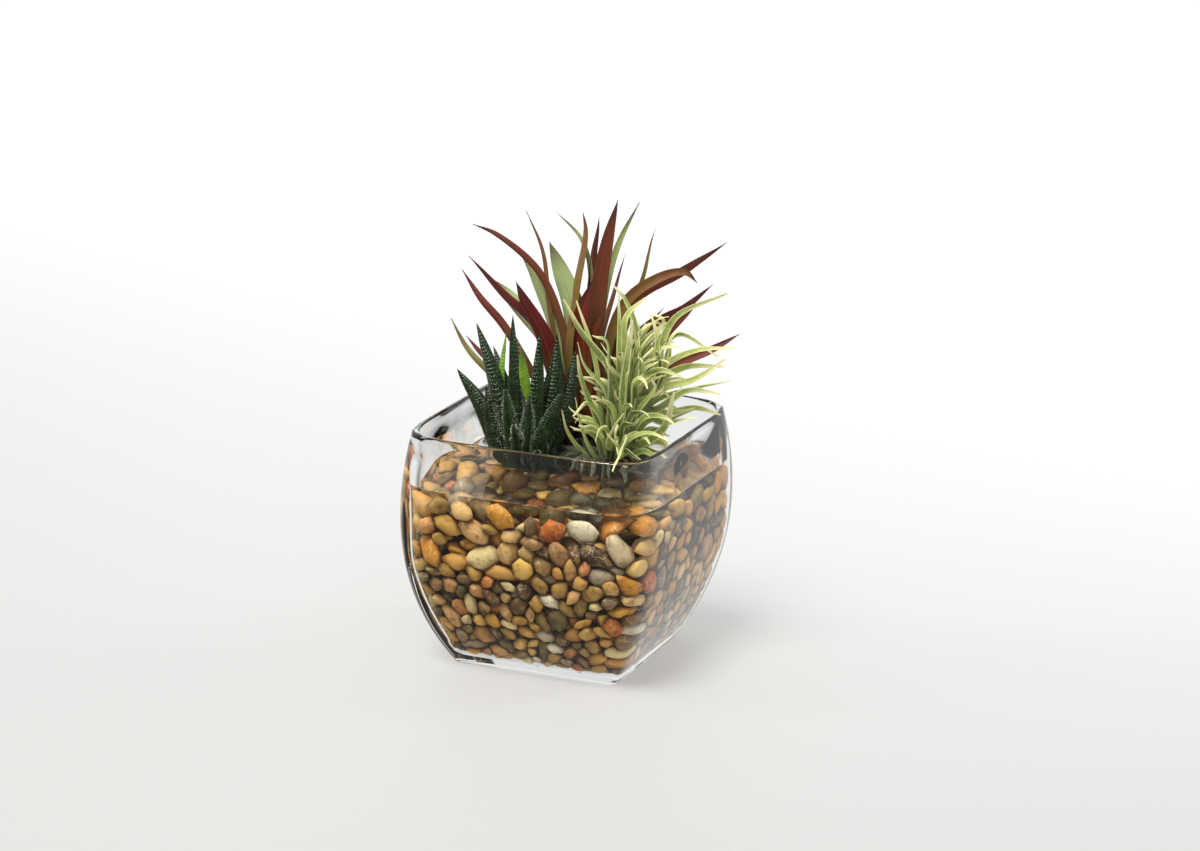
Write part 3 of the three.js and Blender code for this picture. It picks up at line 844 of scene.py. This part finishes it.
def pebbleMaterial():
    # Wet river stones: each with its own colour, clouded, speckled and here and there veined
    material, graph = newMaterial("riverPebble")
    shade = graph.attribute("shade")
    offset = graph.node("ShaderNodeCombineXYZ", {}, {0: shade * 3.1, 1: shade * 7.7, 2: shade * 1.9})
    place = graph.node("ShaderNodeVectorMath", {"operation": "ADD"}, {0: graph.place(), 1: offset})
    cloud = graph.noise(place, 210, 4, 0.6)
    speck = graph.noise(place, 1500, 3, 0.7)
    vein = 1 - abs(graph.noise(place, 120, 2, 0.5) - 0.5).above(0.008, 0.006)
    colour = graph.paint(
        graph.ramp(shade, pebbles["colours"]),
        (cloud.above(0.58, 0.1) * 0.35, (206, 164, 92)),
        ((1 - cloud).above(0.6, 0.1) * 0.55, (120, 82, 44), "MULTIPLY"),
        (speck.above(0.64, 0.04) * 0.5, (92, 70, 44)),
        (vein * shade.above(0.5, 0.05) * 0.4, (240, 226, 196)),
        # painted shade where the stones lie close to one another
        (graph.attribute("crevice") * 0.85, (70, 40, 12), "MULTIPLY"),
        # painted shadow of the plants on the top stones
        (plantShadowFilm(graph) * 0.92, (72, 68, 46), "MULTIPLY"),
    )
    grain = graph.noise(place, 900, 4, 0.65)
    dents = graph.noise(place, 260, 3, 0.5)
    normal = graph.bump(dents, 0.35, 0.0009)
    normal = graph.bump(grain, 0.25, 0.0003, normal)
    return closeSkin(material, graph, colour, 0.34 + 0.2 * grain, normal, 0.16)


def makePebbles():
    place, axes, half, pick = settleStones()
    turns = [Matrix(frameAxes).transposed().to_euler() for frameAxes in axes.tolist()]
    shapeNumbers = pick.integers(0, pebbles["variants"], len(place))
    shades = pick.uniform(0, 1, len(place))
    for k, (_, _, shade) in enumerate(pebbles["large"]):
        shades[k] = shade
    piece = scatter(
        "pebbleBed", (place * mm).tolist(), turns, half * mm, shapeNumbers, shades, stoneShapes(),
        pebbleMaterial(),
    )
    addCreviceShade(piece, place, axes, half)
    keepPiece(piece, "pebble", "pebble_bed")


def catmullRom(points, t):
    # Centripetal curve through the points, each stretch taking an equal share of t
    first = points[0] * 2 - points[1]
    last = points[-1] * 2 - points[-2]
    chain = [first, *points, last]
    spans = len(points) - 1
    k = min(int(t * spans), spans - 1)
    share = t * spans - k
    p = chain[k:k + 4]
    gaps = [max((p[i + 1] - p[i]).length ** 0.5, 1e-4) for i in range(3)]

    def pull(i):
        wide = (p[i + 2] - p[i]) / (gaps[i] + gaps[i + 1])
        return ((p[i + 1] - p[i]) / gaps[i] - wide + (p[i + 2] - p[i + 1]) / gaps[i + 1]) * gaps[1]

    startPull, endPull = pull(0), pull(1)
    square = p[1] * -3 + p[2] * 3 - startPull * 2 - endPull
    cube = p[1] * 2 - p[2] * 2 + startPull + endPull
    return p[1] + startPull * share + square * share ** 2 + cube * share ** 3


def leafPath(plant, tip, bends, order, rootRise=0.0, rootShift=0.0):
    # From the side of the crown, through its bends, to its tip, in the frame of the planting
    x, y = plant["at"]
    x += rootShift
    lean = Vector((tip[0] - x, tip[1] - y, 0)).normalized() * plant["crown"] * plant["rootSpread"]
    height = plant["crownHeight"] + plant["rise"] * ((order * 0.618) % 1 - 0.7) + rootRise
    root = Vector((x, y, height)) + lean
    onTheWay = []
    for k, bend in enumerate(bends):  # a bend is x, z, and a depth where the even share isn't right
        depth = bend[2] if len(bend) > 2 else blend(y, tip[1], (k + 1) / (len(bends) + 1))
        onTheWay.append(Vector((bend[0], depth, bend[1])))
    return [root, *onTheWay, Vector(tip)]


def bladeSpine(path, look, steps):
    # Points along a blade with its outward direction, half width and share of the length
    start, end = path[0], path[-1]
    outward = Vector((end.x - start.x, end.y - start.y, 0))
    outward = outward.normalized() if outward.length > 0.5 else Vector((1, 0, 0))
    across = Vector((0, 0, 1)).cross(outward)
    places = [catmullRom(path, k / steps) for k in range(steps + 1)]
    hook = look.get("hook", 0)
    if hook:
        places = hooked(places, across, hook, look.get("hookFrom", 0.7))
    spine = []
    for k, place in enumerate(places):
        t = k / steps
        along = (places[min(k + 1, steps)] - places[max(k - 1, 0)]).normalized()
        wide = (across - along * across.dot(along)).normalized()
        wide = Matrix.Rotation(look.get("twist", 0) * t, 3, along) @ wide
        sway = look.get("sway", 0) * math.sin(math.pi * t)
        sway *= noise.noise(Vector((t * 3, look["seed"] * 7.1, 0.5)))
        half = max(look["width"] / 2 * look["shape"](t), look.get("thinnest", 0.12))
        spine.append((place + wide * sway, wide.cross(along), half, t, wide, along))
    return spine


def hooked(places, across, hook, start):
    # Rolls the end of a blade over, more and more towards its tip
    steps = len(places) - 1
    bent = places[:1]
    for k in range(steps):
        t = (k + 1) / steps
        share = max(0, (t - start) / (1 - start))
        turn = Matrix.Rotation(hook * share ** 1.4, 3, across)
        bent.append(bent[-1] + turn @ (places[k + 1] - places[k]))
    return bent


def lance(t):
    return ((0.5 + 1.3 * t) * (1 - t) ** 0.95) / 0.635


def wedge(t):
    root = 0.45 + 0.55 * math.sin(math.pi / 2 * min(1, t / 0.3))
    return root * (1 - t) ** 0.8 * (1 + 0.5 * t)


def spade(t):
    share = max(0, (t - 0.52) / 0.48)
    return 0.16 + 0.84 * math.sin(math.pi * share ** 0.8) ** 0.9


def ribbon(t):
    return 0.22 + 0.78 * (1 - t ** 2.4)


def rod(t):
    return 1.0


def dome(t):
    return math.sqrt(max(0, 1 - (2 * t - 1) ** 2))


def sectionPoint(turn, thickness, fold):
    # A blade's section: a flattened ring folded into a channel, for a half width of one
    across = math.cos(turn)
    return across, thickness * math.sin(turn) - fold * abs(across) ** 1.5


def bladeTree():
    # Blades from spines: a folded ring is carried along each spine, as wide as the spine says
    graph, entry = newTree("bladesAlongSpines", {
        "Spines": "Geometry", "Section Points": "Int", "Thickness": "Float", "Fold": "Float",
        "Skin": "Material",
    })
    curve = graph.node("GeometryNodeMeshToCurve", {}, {"Mesh": entry["Spines"]})
    curve = graph.node("GeometryNodeSetCurveNormal", {"mode": "FREE"}, {
        "Curve": curve, "Normal": graph.value("outward", "FLOAT_VECTOR"),
    })
    sockets = {"Resolution": entry["Section Points"], "Radius": 1.0}
    ring = graph.node("GeometryNodeCurvePrimitiveCircle", {}, sockets)
    across = graph.split(graph.node("GeometryNodeInputPosition"))
    back = across.output("Y")
    for name, amount in (("across", across), ("faceSide", back)):
        ring = graph.node("GeometryNodeStoreNamedAttribute", {"data_type": "FLOAT", "domain": "POINT"}, {
            "Geometry": ring, "Name": name, "Value": amount,
        })
    depth = back * entry["Thickness"] - abs(across) ** 1.5 * entry["Fold"]
    folded = graph.node("ShaderNodeCombineXYZ", {}, {0: across, 1: depth, 2: 0.0})
    ring = graph.node("GeometryNodeSetPosition", {}, {"Geometry": ring, "Position": folded})
    blades = graph.node("GeometryNodeCurveToMesh", {}, {
        "Curve": curve, "Profile Curve": ring, "Scale": graph.value("halfWidth", "FLOAT"),
        "Fill Caps": True,
    })
    return closeTree(graph, blades, entry["Skin"])


def blades(name, spines, section, material):
    # One mesh from many spines; spines are lists from bladeSpine with a shade each
    points, edges, along, halfWidth, outward, shades = [], [], [], [], [], []
    for spine, shade in spines:
        first = len(points)
        for place, back, half, t, _, _ in spine:
            points.append(plantTurn @ place * mm)
            outward.append(plantTurn @ back)
            halfWidth.append(half * mm)
            along.append(t)
            shades.append(shade)
        edges.extend((k, k + 1) for k in range(first, len(points) - 1))
    mesh = bpy.data.meshes.new(name + "Spines")
    mesh.from_pydata(points, edges, [])
    addAttribute(mesh, "along", "FLOAT", along)
    addAttribute(mesh, "halfWidth", "FLOAT", halfWidth)
    addAttribute(mesh, "outward", "FLOAT_VECTOR", [tuple(back) for back in outward])
    addAttribute(mesh, "shade", "FLOAT", shades)
    values = {
        "Section Points": section["points"], "Thickness": section["thickness"], "Fold": section["fold"],
        "Skin": material,
    }
    piece = shapeByTree(name, newObject(name + "Spines", mesh), bladesAlongSpines, values)
    tidyMesh(piece.data)
    return piece


stemLook = {"bottom": 57, "section": {"points": 14, "thickness": 1.0, "fold": 0.0}}


def stemSpine(plant):
    x, y = plant["at"]
    look = {"width": plant["stem"] * 2, "shape": rod, "seed": 1}
    path = [Vector((x, y, stemLook["bottom"])), Vector((x, y, plant["crownHeight"] + 2))]
    if "heart" in plant:  # the stem goes on, leaning, under the leaves
        path.append(Vector((plant["heart"][0], y, plant["heart"][1])))
    return bladeSpine(path, look, 12)


def joinPieces(name, parts):
    picked = {"selected_objects": parts, "selected_editable_objects": parts}
    with bpy.context.temp_override(active_object=parts[0], **picked):
        bpy.ops.object.join()
    parts[0].name = name
    return parts[0]


def crownSpine(plant):
    # A low rounded heart under the leaves
    x, y = plant["at"]
    rise = plant["rise"]
    look = {"width": plant["crown"] * 1.7, "shape": dome, "seed": 2}
    path = [Vector((x, y, plant["crownHeight"] - rise)), Vector((x, y, plant["crownHeight"] + rise * 1.6))]
    return bladeSpine(path, look, 10)


def makePlant(name, plant, spines, section, leafSkin, stemSkin, slotName, node):
    leaves = blades(name, spines, section, leafSkin)
    heart = [(spine, 0.2) for spine in (stemSpine(plant), crownSpine(plant))]
    stem = blades(name + "Stem", heart, stemLook["section"], stemSkin)
    piece = joinPieces(name, [leaves, stem])
    keepPiece(piece, slotName, node)


def leavesRound(plant, rule):
    # Leaves all round a crown, at the golden angle and within the rule's distances and heights; the skirts
    # are leaves coloured near-black as painted shade low round the crown, kept away from the glass
    x, y = plant["at"]
    share, lift = rule["bend"]
    routes = []
    for k in range(rule["count"]):
        seed = k + rule.get("skip", 0)
        turn = k * goldenAngle + rule["turn"]
        reach = blend(*rule["reach"], draw(rule["seeds"][0], seed, 0, 1))
        rise = draw(rule["seeds"][1], seed, 0, 1) if rule["seeds"][1] else k / rule["count"]
        height = blend(*rule["height"], rise)
        tip = (x + math.cos(turn) * reach, y + math.sin(turn) * reach, height)
        bend = (x + math.cos(turn) * reach * share, (plant["crownHeight"] + height) / 2 + lift)
        if "shade" in rule:
            routes.append((tip, [bend], rule["width"], draw(rule["seeds"][2], k, 0, rule["shade"])))
        elif tip[0] >= rule["from"] and math.hypot(tip[0], tip[1]) < planting["clearOfGlass"]:
            routes.append((tip, [bend], rule["width"], paintedShadeLeaf))
    return routes


def allLeaves(plant, look):
    return look["leaves"] + leavesRound(plant, look["lower"]) + leavesRound(plant, look["skirt"])


rosetteLook = {
    "steps": 34, "section": {"points": 16, "thickness": 0.4, "fold": 0.36},
    "bandGap": 1.5, "beadsAcross": 9, "beadSize": (0.82, 0.42, 0.36), "missing": 0.12, "rootRise": -9,
    "firstBand": 3, "lastBand": 0.97, "beadShift": 0.25, "beadStray": 0.3, "beadVary": (0.7, 1.15),
    "smallBead": 0.55, "wideLeaf": 5, "widen": 1.12, "sway": 1.2, "twist": 0.35,
    "lower": {  # short old leaves low on the crown
        "count": 20, "turn": 0, "reach": (9, 21), "height": (114, 146), "width": 13, "bend": (0.85, -4),
        "seeds": (71, 72, 73), "shade": 0.3,
    },
    "skirt": {
        "count": 46, "turn": 3, "reach": (8, 37), "height": (103, 112), "width": 9, "bend": (0.6, 3),
        "seeds": (78, 79), "skip": 150, "from": -27,
    },
    "leaves": [  # tip, bends, width, shade: 0 dark green, 1 bright green
        ((-61, -4, 160), [(-46, 136)], 12, 0.1), ((-51, 10, 182), [(-41, 150)], 12, 0.15),
        ((-31, -6, 191), [(-29, 152)], 12, 0.1), ((-26, -28, 179), [(-22, 146, -20)], 10, 1.0),
        ((-16, -8, 183), [(-17, 146)], 12, 0.05), ((-7, -2, 180), [(-8, 146)], 12, 0.12),
        ((3, 8, 168), [(-2, 138)], 12, 0.0), ((-35, 18, 175), [(-38, 148)], 7, 0.8),
        ((-42, 22, 166), [(-35, 140)], 12, 0.2), ((-35, -22, 156), [(-32, 130)], 12, 0.35),
        ((-4, -20, 153), [(-13, 128)], 12, 0.0), ((-45, -14, 154), [(-40, 126)], 12, 0.1),
        ((-21, -26, 152), [(-23, 128)], 12, 0.05), ((-16, 20, 170), [(-19, 136)], 12, 0.1),
        ((-28, 26, 152), [(-26, 128)], 12, 0.1), ((-30, -30, 138), [(-28, 120)], 12, 0.1),
        ((-10, 2, 164), [(-14, 132)], 12, 0.05), ((-49, 4, 146), [(-43, 124)], 12, 0.1),
    ],
}


def rosetteMaterial():
    material, graph = newMaterial("rosetteLeaf")
    place = graph.place()
    shade = graph.attribute("shade")
    along = graph.attribute("along")
    dark = graph.ramp(graph.noise(place, 160, 4), [
        (0.3, (14, 27, 11)), (0.55, (27, 49, 19)), (0.8, (56, 84, 32)),
    ])
    bright = graph.ramp(graph.noise(place, 120, 3), [(0.3, (84, 128, 22)), (0.7, (132, 172, 44))])
    fresh = shade.above(0.55, 0.3)
    band = along.maths("SINE", along * 190)
    speck = graph.noise(place, 1400, 2)
    colour = graph.paint(
        graph.mix(fresh, dark, bright),
        (along.above(0.9, 0.1) * 0.6, (40, 34, 24)),
        (speck.above(0.66, 0.05) * 0.5 * (1 - fresh), (150, 176, 140)),
        # painted shade: skirt leaves, with a shade below -0.5, turn near-black
        (1 - shade.above(-0.5, 0.1), (24, 30, 18)),
    )
    normal = graph.bump(band * 0.5 + graph.noise(place, 700, 3), 0.4, 0.0004)
    return closeSkin(material, graph, colour, 0.36 + 0.15 * speck, normal, 0.4)


def beadMaterial():
    material, graph = newMaterial("pearlBand")
    cloud = graph.noise(graph.place(), 900, 3)
    colour = graph.ramp(cloud, [(0.3, (168, 186, 152)), (0.6, (226, 234, 214))])
    return closeSkin(material, graph, colour, 0.45 + 0.2 * cloud, graph.bump(cloud, 0.3, 0.0001))


def stemMaterial(name, low, high):
    material, graph = newMaterial(name)
    cloud = graph.noise(graph.place(), 260, 4)
    colour = graph.mix(cloud.above(0.5, 0.15), rgb(*low), rgb(*high))
    return closeSkin(material, graph, colour, 0.55 + 0.25 * cloud, graph.bump(cloud, 0.6, 0.0006))


def makeRosette():
    spines = []
    for k, (tip, bends, width, shade) in enumerate(allLeaves(rosette, rosetteLook)):
        look = {
            "width": width * rosetteLook["widen"], "shape": wedge, "seed": k, "sway": rosetteLook["sway"],
            "twist": draw(41, k, -rosetteLook["twist"], rosetteLook["twist"]),
        }
        if shade > 0.9:
            look.update(shape=spade, twist=0)
        path = leafPath(rosette, tip, bends, k, rosetteLook["rootRise"])
        spines.append((bladeSpine(path, look, rosetteLook["steps"]), shade))
    section = rosetteLook["section"]
    makePlant(
        "rosettePlant", rosette, spines, section, rosetteMaterial(),
        stemMaterial("rosetteStem", (58, 62, 34), (96, 88, 54)), "rosette_leaf", "rosette_plant",
    )
    makeBands(spines, section)


def makeBands(spines, section):
    # Rows of raised pearly beads across each leaf, on its outer side and thinner on its inner side
    points, turns, sizes = [], [], []
    bead = Vector(rosetteLook["beadSize"])
    shift, stray, missing = rosetteLook["beadShift"], rosetteLook["beadStray"], rosetteLook["missing"]
    for leaf, (spine, shade) in enumerate(spines):
        if shade > 0.5 or shade < 0:
            continue
        run = 0.0
        nextBand = rosetteLook["firstBand"]
        for k in range(1, len(spine)):
            place, back, half, t, wide, along = spine[k]
            run += (place - spine[k - 1][0]).length
            if run < nextBand or t > rosetteLook["lastBand"]:
                continue
            nextBand += rosetteLook["bandGap"]
            for i in range(2 * rosetteLook["beadsAcross"]):
                seed = leaf * 1000 + k * 20 + i
                inner = i >= rosetteLook["beadsAcross"]
                if draw(81, seed, 0, 1) < missing * (3 if inner else 1):
                    continue
                turn = math.pi * (i + 0.5 + draw(82, seed, -shift, shift)) / rosetteLook["beadsAcross"]
                u, v = sectionPoint(turn, section["thickness"], section["fold"])
                spot = place + (wide * u + back * v) * half + along * draw(83, seed, -stray, stray)
                lift = (wide * math.cos(turn) * section["thickness"] + back * math.sin(turn)).normalized()
                side = lift.cross(along).normalized()
                axes = Matrix((side, lift.cross(side), lift)).transposed()
                size = blend(rosetteLook["smallBead"], 1, min(1, half / rosetteLook["wideLeaf"]))
                size *= draw(84, seed, *rosetteLook["beadVary"])
                points.append(plantTurn @ spot * mm)
                turns.append((plantTurn @ axes).to_euler())
                sizes.append(tuple(bead * size * mm))
    shapes = bpy.data.collections.new("beadShapes")
    form = bmesh.new()
    bmesh.ops.create_uvsphere(form, u_segments=4, v_segments=2, radius=0.5)
    addShape(shapes, "bead", form)
    count = len(points)
    piece = scatter(
        "rosetteBands", points, turns, sizes, [0] * count, [0.5] * count, shapes, beadMaterial(),
    )
    keepPiece(piece, "rosette_leaf")


grassLook = {
    "steps": 26, "section": {"points": 12, "thickness": 0.26, "fold": 0.52}, "thinnest": 0.3,
    "sway": 2.6, "twist": 1.4, "hook": (-0.8, 2.0), "hookFrom": 0.72, "overRim": 138,
    "bush": {
        "count": 104, "lift": (1.35, 0.05), "liftVary": 0.2, "long": (50, 42), "longVary": (0.8, 1.1),
        "width": 4, "depth": 0.75, "leftLift": 0.8, "bend": (0.3, 0.55),
    },
    "skirt": {
        "count": 90, "turn": 2, "reach": (7, 38), "height": (103, 114), "width": 6, "bend": (0.6, 3),
        "seeds": (78, 79), "skip": 100, "from": -12,
    },
    "leaves": [  # tip, bends, width
        ((-4, -14, 202), [(25, 153), (5, 185)], 4.2), ((3, 0, 198), [(13, 167)], 3.2),
        ((12, -20, 184), [(21, 165), (18, 181)], 4.4), ((4, -16, 179), [(21, 148), (10, 164)], 4),
        ((4, -24, 174), [(15, 135), (7, 158)], 4.4), ((2, -28, 141), [(17, 136), (10, 147)], 3.4),
        ((-4, -24, 143), [(8, 116), (0, 128)], 2.8), ((3, -26, 151), [(12, 119), (6, 137)], 3.4),
        ((26, -4, 203), [(27, 174)], 3.6), ((40, -12, 203), [(29, 176), (31, 193)], 4.6),
        ((22, -8, 210), [(37, 175), (30, 201)], 4.6), ((33, -14, 191), [(30, 155)], 5.4),
        ((41, -2, 191), [(47, 172), (51, 188)], 4.6), ((84, -4, 204), [(48, 173), (57, 191)], 5),
        ((80, 2, 167), [(46, 167), (58, 180)], 3.6), ((89, -6, 174), [(47, 160), (66, 172)], 4.2),
        ((83, 0, 162), [(45, 153), (62, 162)], 5), ((84, -14, 170), [(50, 152), (67, 158)], 4.8),
        ((89, -8, 157), [(47, 145), (70, 153)], 4.2), ((81, -16, 151), [(46, 140), (64, 152)], 4.6),
        ((77, 4, 141), [(50, 132)], 4.4), ((82, -4, 136), [(50, 137), (68, 140)], 4.2),
        ((69, -18, 138), [(50, 133)], 4.2), ((54, -30, 128), [(32, 123), (43, 130)], 3.4),
        ((56, -20, 153), [(36, 121), (50, 132)], 7), ((44, -28, 162), [(38, 141), (46, 155)], 4.2),
        ((60, -26, 163), [(37, 154), (49, 165)], 4.6), ((29, -36, 145), [(20, 124)], 5.6),
        ((20, -46, 137), [(29, 119)], 3), ((39, -26, 173), [(48, 162), (45, 176)], 5),
        ((23, -86, 128), [(30, 136, -50), (27, 136, -78)], 3.6), ((16, -24, 132), [(20, 120)], 3.8),
    ],
}


def heartPlace(share):
    # A place up the leaning stem, as its rise and its shift to the side
    side, top = grass["heart"]
    return (top - grass["crownHeight"]) * share, (side - grass["at"][0]) * share


def bushLeaves():
    # Arching leaves all round the leaning stem, steep ones high up and flatter ones further down
    rule = grassLook["bush"]
    x, y = grass["at"]
    routes = []
    for k in range(rule["count"]):
        share = (k + 0.5) / rule["count"]
        rise, shift = heartPlace(1 - share)
        root = Vector((x + shift, y, grass["crownHeight"] + rise))
        turn = k * goldenAngle
        out = Vector((math.cos(turn), math.sin(turn) * rule["depth"], 0))
        lift = blend(*rule["lift"], share) + draw(76, k, -rule["liftVary"], rule["liftVary"])
        lift += max(0, -out.x) * rule["leftLift"]
        long = blend(*rule["long"], share) * draw(77, k, *rule["longVary"])
        steeper = lift + rule["bend"][0]
        bend = root + (out * math.cos(steeper) + Vector((0, 0, math.sin(steeper)))) * long * rule["bend"][1]
        tip = root + (out * math.cos(lift) + Vector((0, 0, math.sin(lift)))) * long
        away = math.hypot(tip.x, tip.y)
        inwards = planting["clearOfGlass"] / away
        if tip.z < grassLook["overRim"] and inwards < 1:
            tip *= Vector((inwards, inwards, 1))
        routes.append((tuple(tip), [(bend.x, bend.z, bend.y)], rule["width"], draw(33, k, 0, 1), 1 - share))
    return routes


def grassMaterial():
    # Mealy yellow-green: pale rolled edges, greener channel, brownish towards the crown
    material, graph = newMaterial("mealyGrass")
    place = graph.place()
    shade = graph.attribute("shade")
    along = graph.attribute("along")
    edge = abs(graph.attribute("across")).above(0.72, 0.2)
    cloud = graph.noise(place, 190, 4)
    green = graph.ramp(cloud * 0.6 + shade * 0.5, [
        (0.2, (88, 108, 30)), (0.5, (140, 156, 58)), (0.8, (192, 202, 106)),
    ])
    meal = graph.noise(place, 2300, 2)
    colour = graph.paint(
        green,
        (edge * 0.8, (222, 226, 160)),
        ((1 - along).above(0.7, 0.2) * 0.75, (66, 80, 30)),
        (along.above(0.8, 0.14) * 0.8, (240, 232, 174)),
        # painted shade: skirt leaves, with a shade below -0.5, turn near-black
        (1 - shade.above(-0.5, 0.1), (40, 44, 22)),
        (meal.above(0.55, 0.08) * 0.35, (226, 228, 188)),
    )
    normal = graph.bump(meal + graph.noise(place, 500, 3), 0.5, 0.0003)
    return closeSkin(material, graph, colour, 0.6 + 0.2 * meal, normal, 0.3)


def makeGrass():
    x = grass["at"][0]
    routes = []
    for k, (tip, bends, width) in enumerate(grassLook["leaves"]):  # leaves to the right start higher up
        climb = min(1, max(0, (tip[0] - x) / 45 + draw(34, k, 0.1, 0.35))) if tip[2] > 130 else 0.1
        routes.append((tip, bends, width, draw(33, k + 100, 0, 1), climb))
    routes += bushLeaves()
    routes += [(*route, 0) for route in leavesRound(grass, grassLook["skirt"])]
    spines = []
    for k, (tip, bends, width, shade, climb) in enumerate(routes):
        look = {
            "width": width, "shape": ribbon, "seed": k, "sway": grassLook["sway"],
            "twist": draw(31, k, -grassLook["twist"], grassLook["twist"]), "thinnest": grassLook["thinnest"],
            "hookFrom": grassLook["hookFrom"],
        }
        if k >= len(grassLook["leaves"]):
            look["hook"] = draw(32, k, *grassLook["hook"])
        rise, shift = heartPlace(climb)
        path = leafPath(grass, tip, bends, k, rise - 4, shift)
        spines.append((bladeSpine(path, look, grassLook["steps"]), shade))
    makePlant(
        "grassyPlant", grass, spines, grassLook["section"], grassMaterial(),
        stemMaterial("grassStem", (96, 112, 44), (128, 136, 66)), "grass_leaf", "grassy_plant",
    )


redLook = {
    "steps": 40, "section": {"points": 18, "thickness": 0.13, "fold": 0.42}, "thinnest": 0.26,
    "sway": 1.6, "twist": 0.6, "rootRise": -5,
    "lower": {  # short dark leaves down the stem, the highest first
        "count": 16, "turn": 0.4, "reach": (10, 27), "height": (168, 124), "width": 7, "bend": (0.6, 0),
        "seeds": (74, None, 75), "shade": 0.35,
    },
    "skirt": {
        "count": 44, "turn": 1, "reach": (10, 32), "height": (104, 126), "width": 9, "bend": (0.6, 3),
        "seeds": (78, 79), "skip": 50, "from": -30,
    },
    "leaves": [  # tip, bends, width, shade: 0 burgundy, 0.5 olive brown, 1 pale green
        ((-54, 40, 230), [(-4, 172), (-18, 205), (-41, 225)], 4.6, 0.36),
        ((-25, 48, 236), [(-12, 186), (-16, 216)], 3.2, 0.5),
        ((-8, 44, 236), [(10, 200), (5, 223)], 4.6, 0.92), ((-12, 34, 222), [(1, 184), (-6, 206)], 12, 1.0),
        ((6, 36, 239), [(-2, 160), (1, 190), (7, 227)], 12.5, 0.6),
        ((15, 44, 234), [(10, 191), (12, 214)], 9, 0.12), ((25, 34, 246), [(14, 189), (19, 224)], 10, 0.2),
        ((37, 50, 241), [(18, 193), (25, 218)], 5, 0.85), ((46, 48, 227), [(36, 194), (42, 214)], 3.2, 0.5),
        ((85, 38, 222), [(33, 190), (62, 208)], 8, 0.15),
        ((69, 30, 201), [(28, 187), (46, 203), (62, 207)], 6, 0.38),
        ((78, 46, 196), [(45, 174), (62, 184)], 7, 0.05), ((68, 38, 185), [(53, 172)], 5.5, 0.08),
        ((93, 38, 170), [(56, 152), (78, 162)], 5.5, 0.16),
        ((-56, 36, 213), [(-17, 172), (-37, 192)], 6.4, 0.08),
        ((-60, 46, 203), [(-36, 173), (-50, 189)], 4.6, 0.3),
        ((-30, 27, 201), [(-9, 152), (-15, 171), (-25, 189)], 10, 0.0),
        ((-30, 50, 216), [(-10, 174), (-20, 198)], 9, 0.97),
        ((-66, 46, 175), [(-45, 148), (-57, 160)], 3.8, 0.72), ((-58, 58, 162), [(-46, 152)], 4, 0.1),
        ((13, 24, 205), [(8, 164), (6, 182)], 12, 0.0), ((18, 20, 187), [(14, 158), (13, 172)], 8, 0.2),
        ((-43, 52, 196), [(-19, 176), (-32, 188)], 7, 0.9), ((30, 74, 206), [(18, 172)], 7, 0.3),
        ((-8, 84, 190), [(0, 166)], 7, 0.6), ((52, 78, 174), [(30, 156)], 7, 0.2),
        ((-36, 80, 176), [(-12, 154)], 7, 0.8),
    ],
}


def redMaterial():
    # Burgundy to pale green by the leaf; the outer side redder, the tip brown, with fine long veins
    material, graph = newMaterial("redLeaf")
    place = graph.place()
    shade = graph.attribute("shade")
    along = graph.attribute("along")
    across = graph.attribute("across")
    outer = graph.attribute("faceSide").above(0.0, 0.25)
    cloud = graph.noise(place, 60, 4)
    tone = shade + (cloud - 0.5) * 0.25
    inside = graph.ramp(tone, [
        (0.0, (110, 32, 24)), (0.3, (120, 62, 34)), (0.55, (140, 122, 62)), (0.8, (150, 162, 94)),
        (1.0, (174, 188, 126)),
    ])
    outside = graph.ramp(tone, [
        (0.0, (94, 18, 18)), (0.3, (106, 38, 26)), (0.6, (124, 92, 48)), (0.85, (140, 156, 92)),
        (1.0, (166, 182, 122)),
    ])
    veins = across.maths("SINE", across * 42)
    rib = 1 - abs(across).above(0.05, 0.05)
    colour = graph.paint(
        graph.mix(outer, inside, outside),
        ((1 - along).above(0.72, 0.2) * 0.45, (110, 104, 50)),
        (along.above(0.8, 0.16) * 0.75, (74, 42, 34)),
        (veins.above(0.2, 0.8) * 0.18, (40, 16, 10), "MULTIPLY"),
        (rib * 0.35, (150, 96, 60)),
        # painted shade: skirt leaves, with a shade below -0.5, turn near-black
        (1 - shade.above(-0.5, 0.1), (34, 33, 22)),
    )
    normal = graph.bump(veins * 0.5 + graph.noise(place, 300, 3), 0.25, 0.0003)
    return closeSkin(material, graph, colour, 0.4 + 0.2 * cloud, normal, 0.3)


def makeRedPlant():
    spines = []
    for k, (tip, bends, width, shade) in enumerate(allLeaves(redPlant, redLook)):
        look = {
            "width": width, "shape": lance, "seed": k + 200, "sway": redLook["sway"],
            "twist": draw(51, k, -redLook["twist"], redLook["twist"]), "thinnest": redLook["thinnest"],
        }
        path = leafPath(redPlant, tip, bends, k, redLook["rootRise"])
        spines.append((bladeSpine(path, look, redLook["steps"]), shade))
    makePlant(
        "redLeafPlant", redPlant, spines, redLook["section"], redMaterial(),
        stemMaterial("redStem", (92, 64, 36), (120, 108, 60)), "red_leaf", "red_leaf_plant",
    )


makeCamera()
makeStudio()
print("studio ready")
scatterShapes = scatterTree()
bladesAlongSpines = bladeTree()
makeVase()
makeWater()
makePebbles()
makeRosette()
makeGrass()
makeRedPlant()
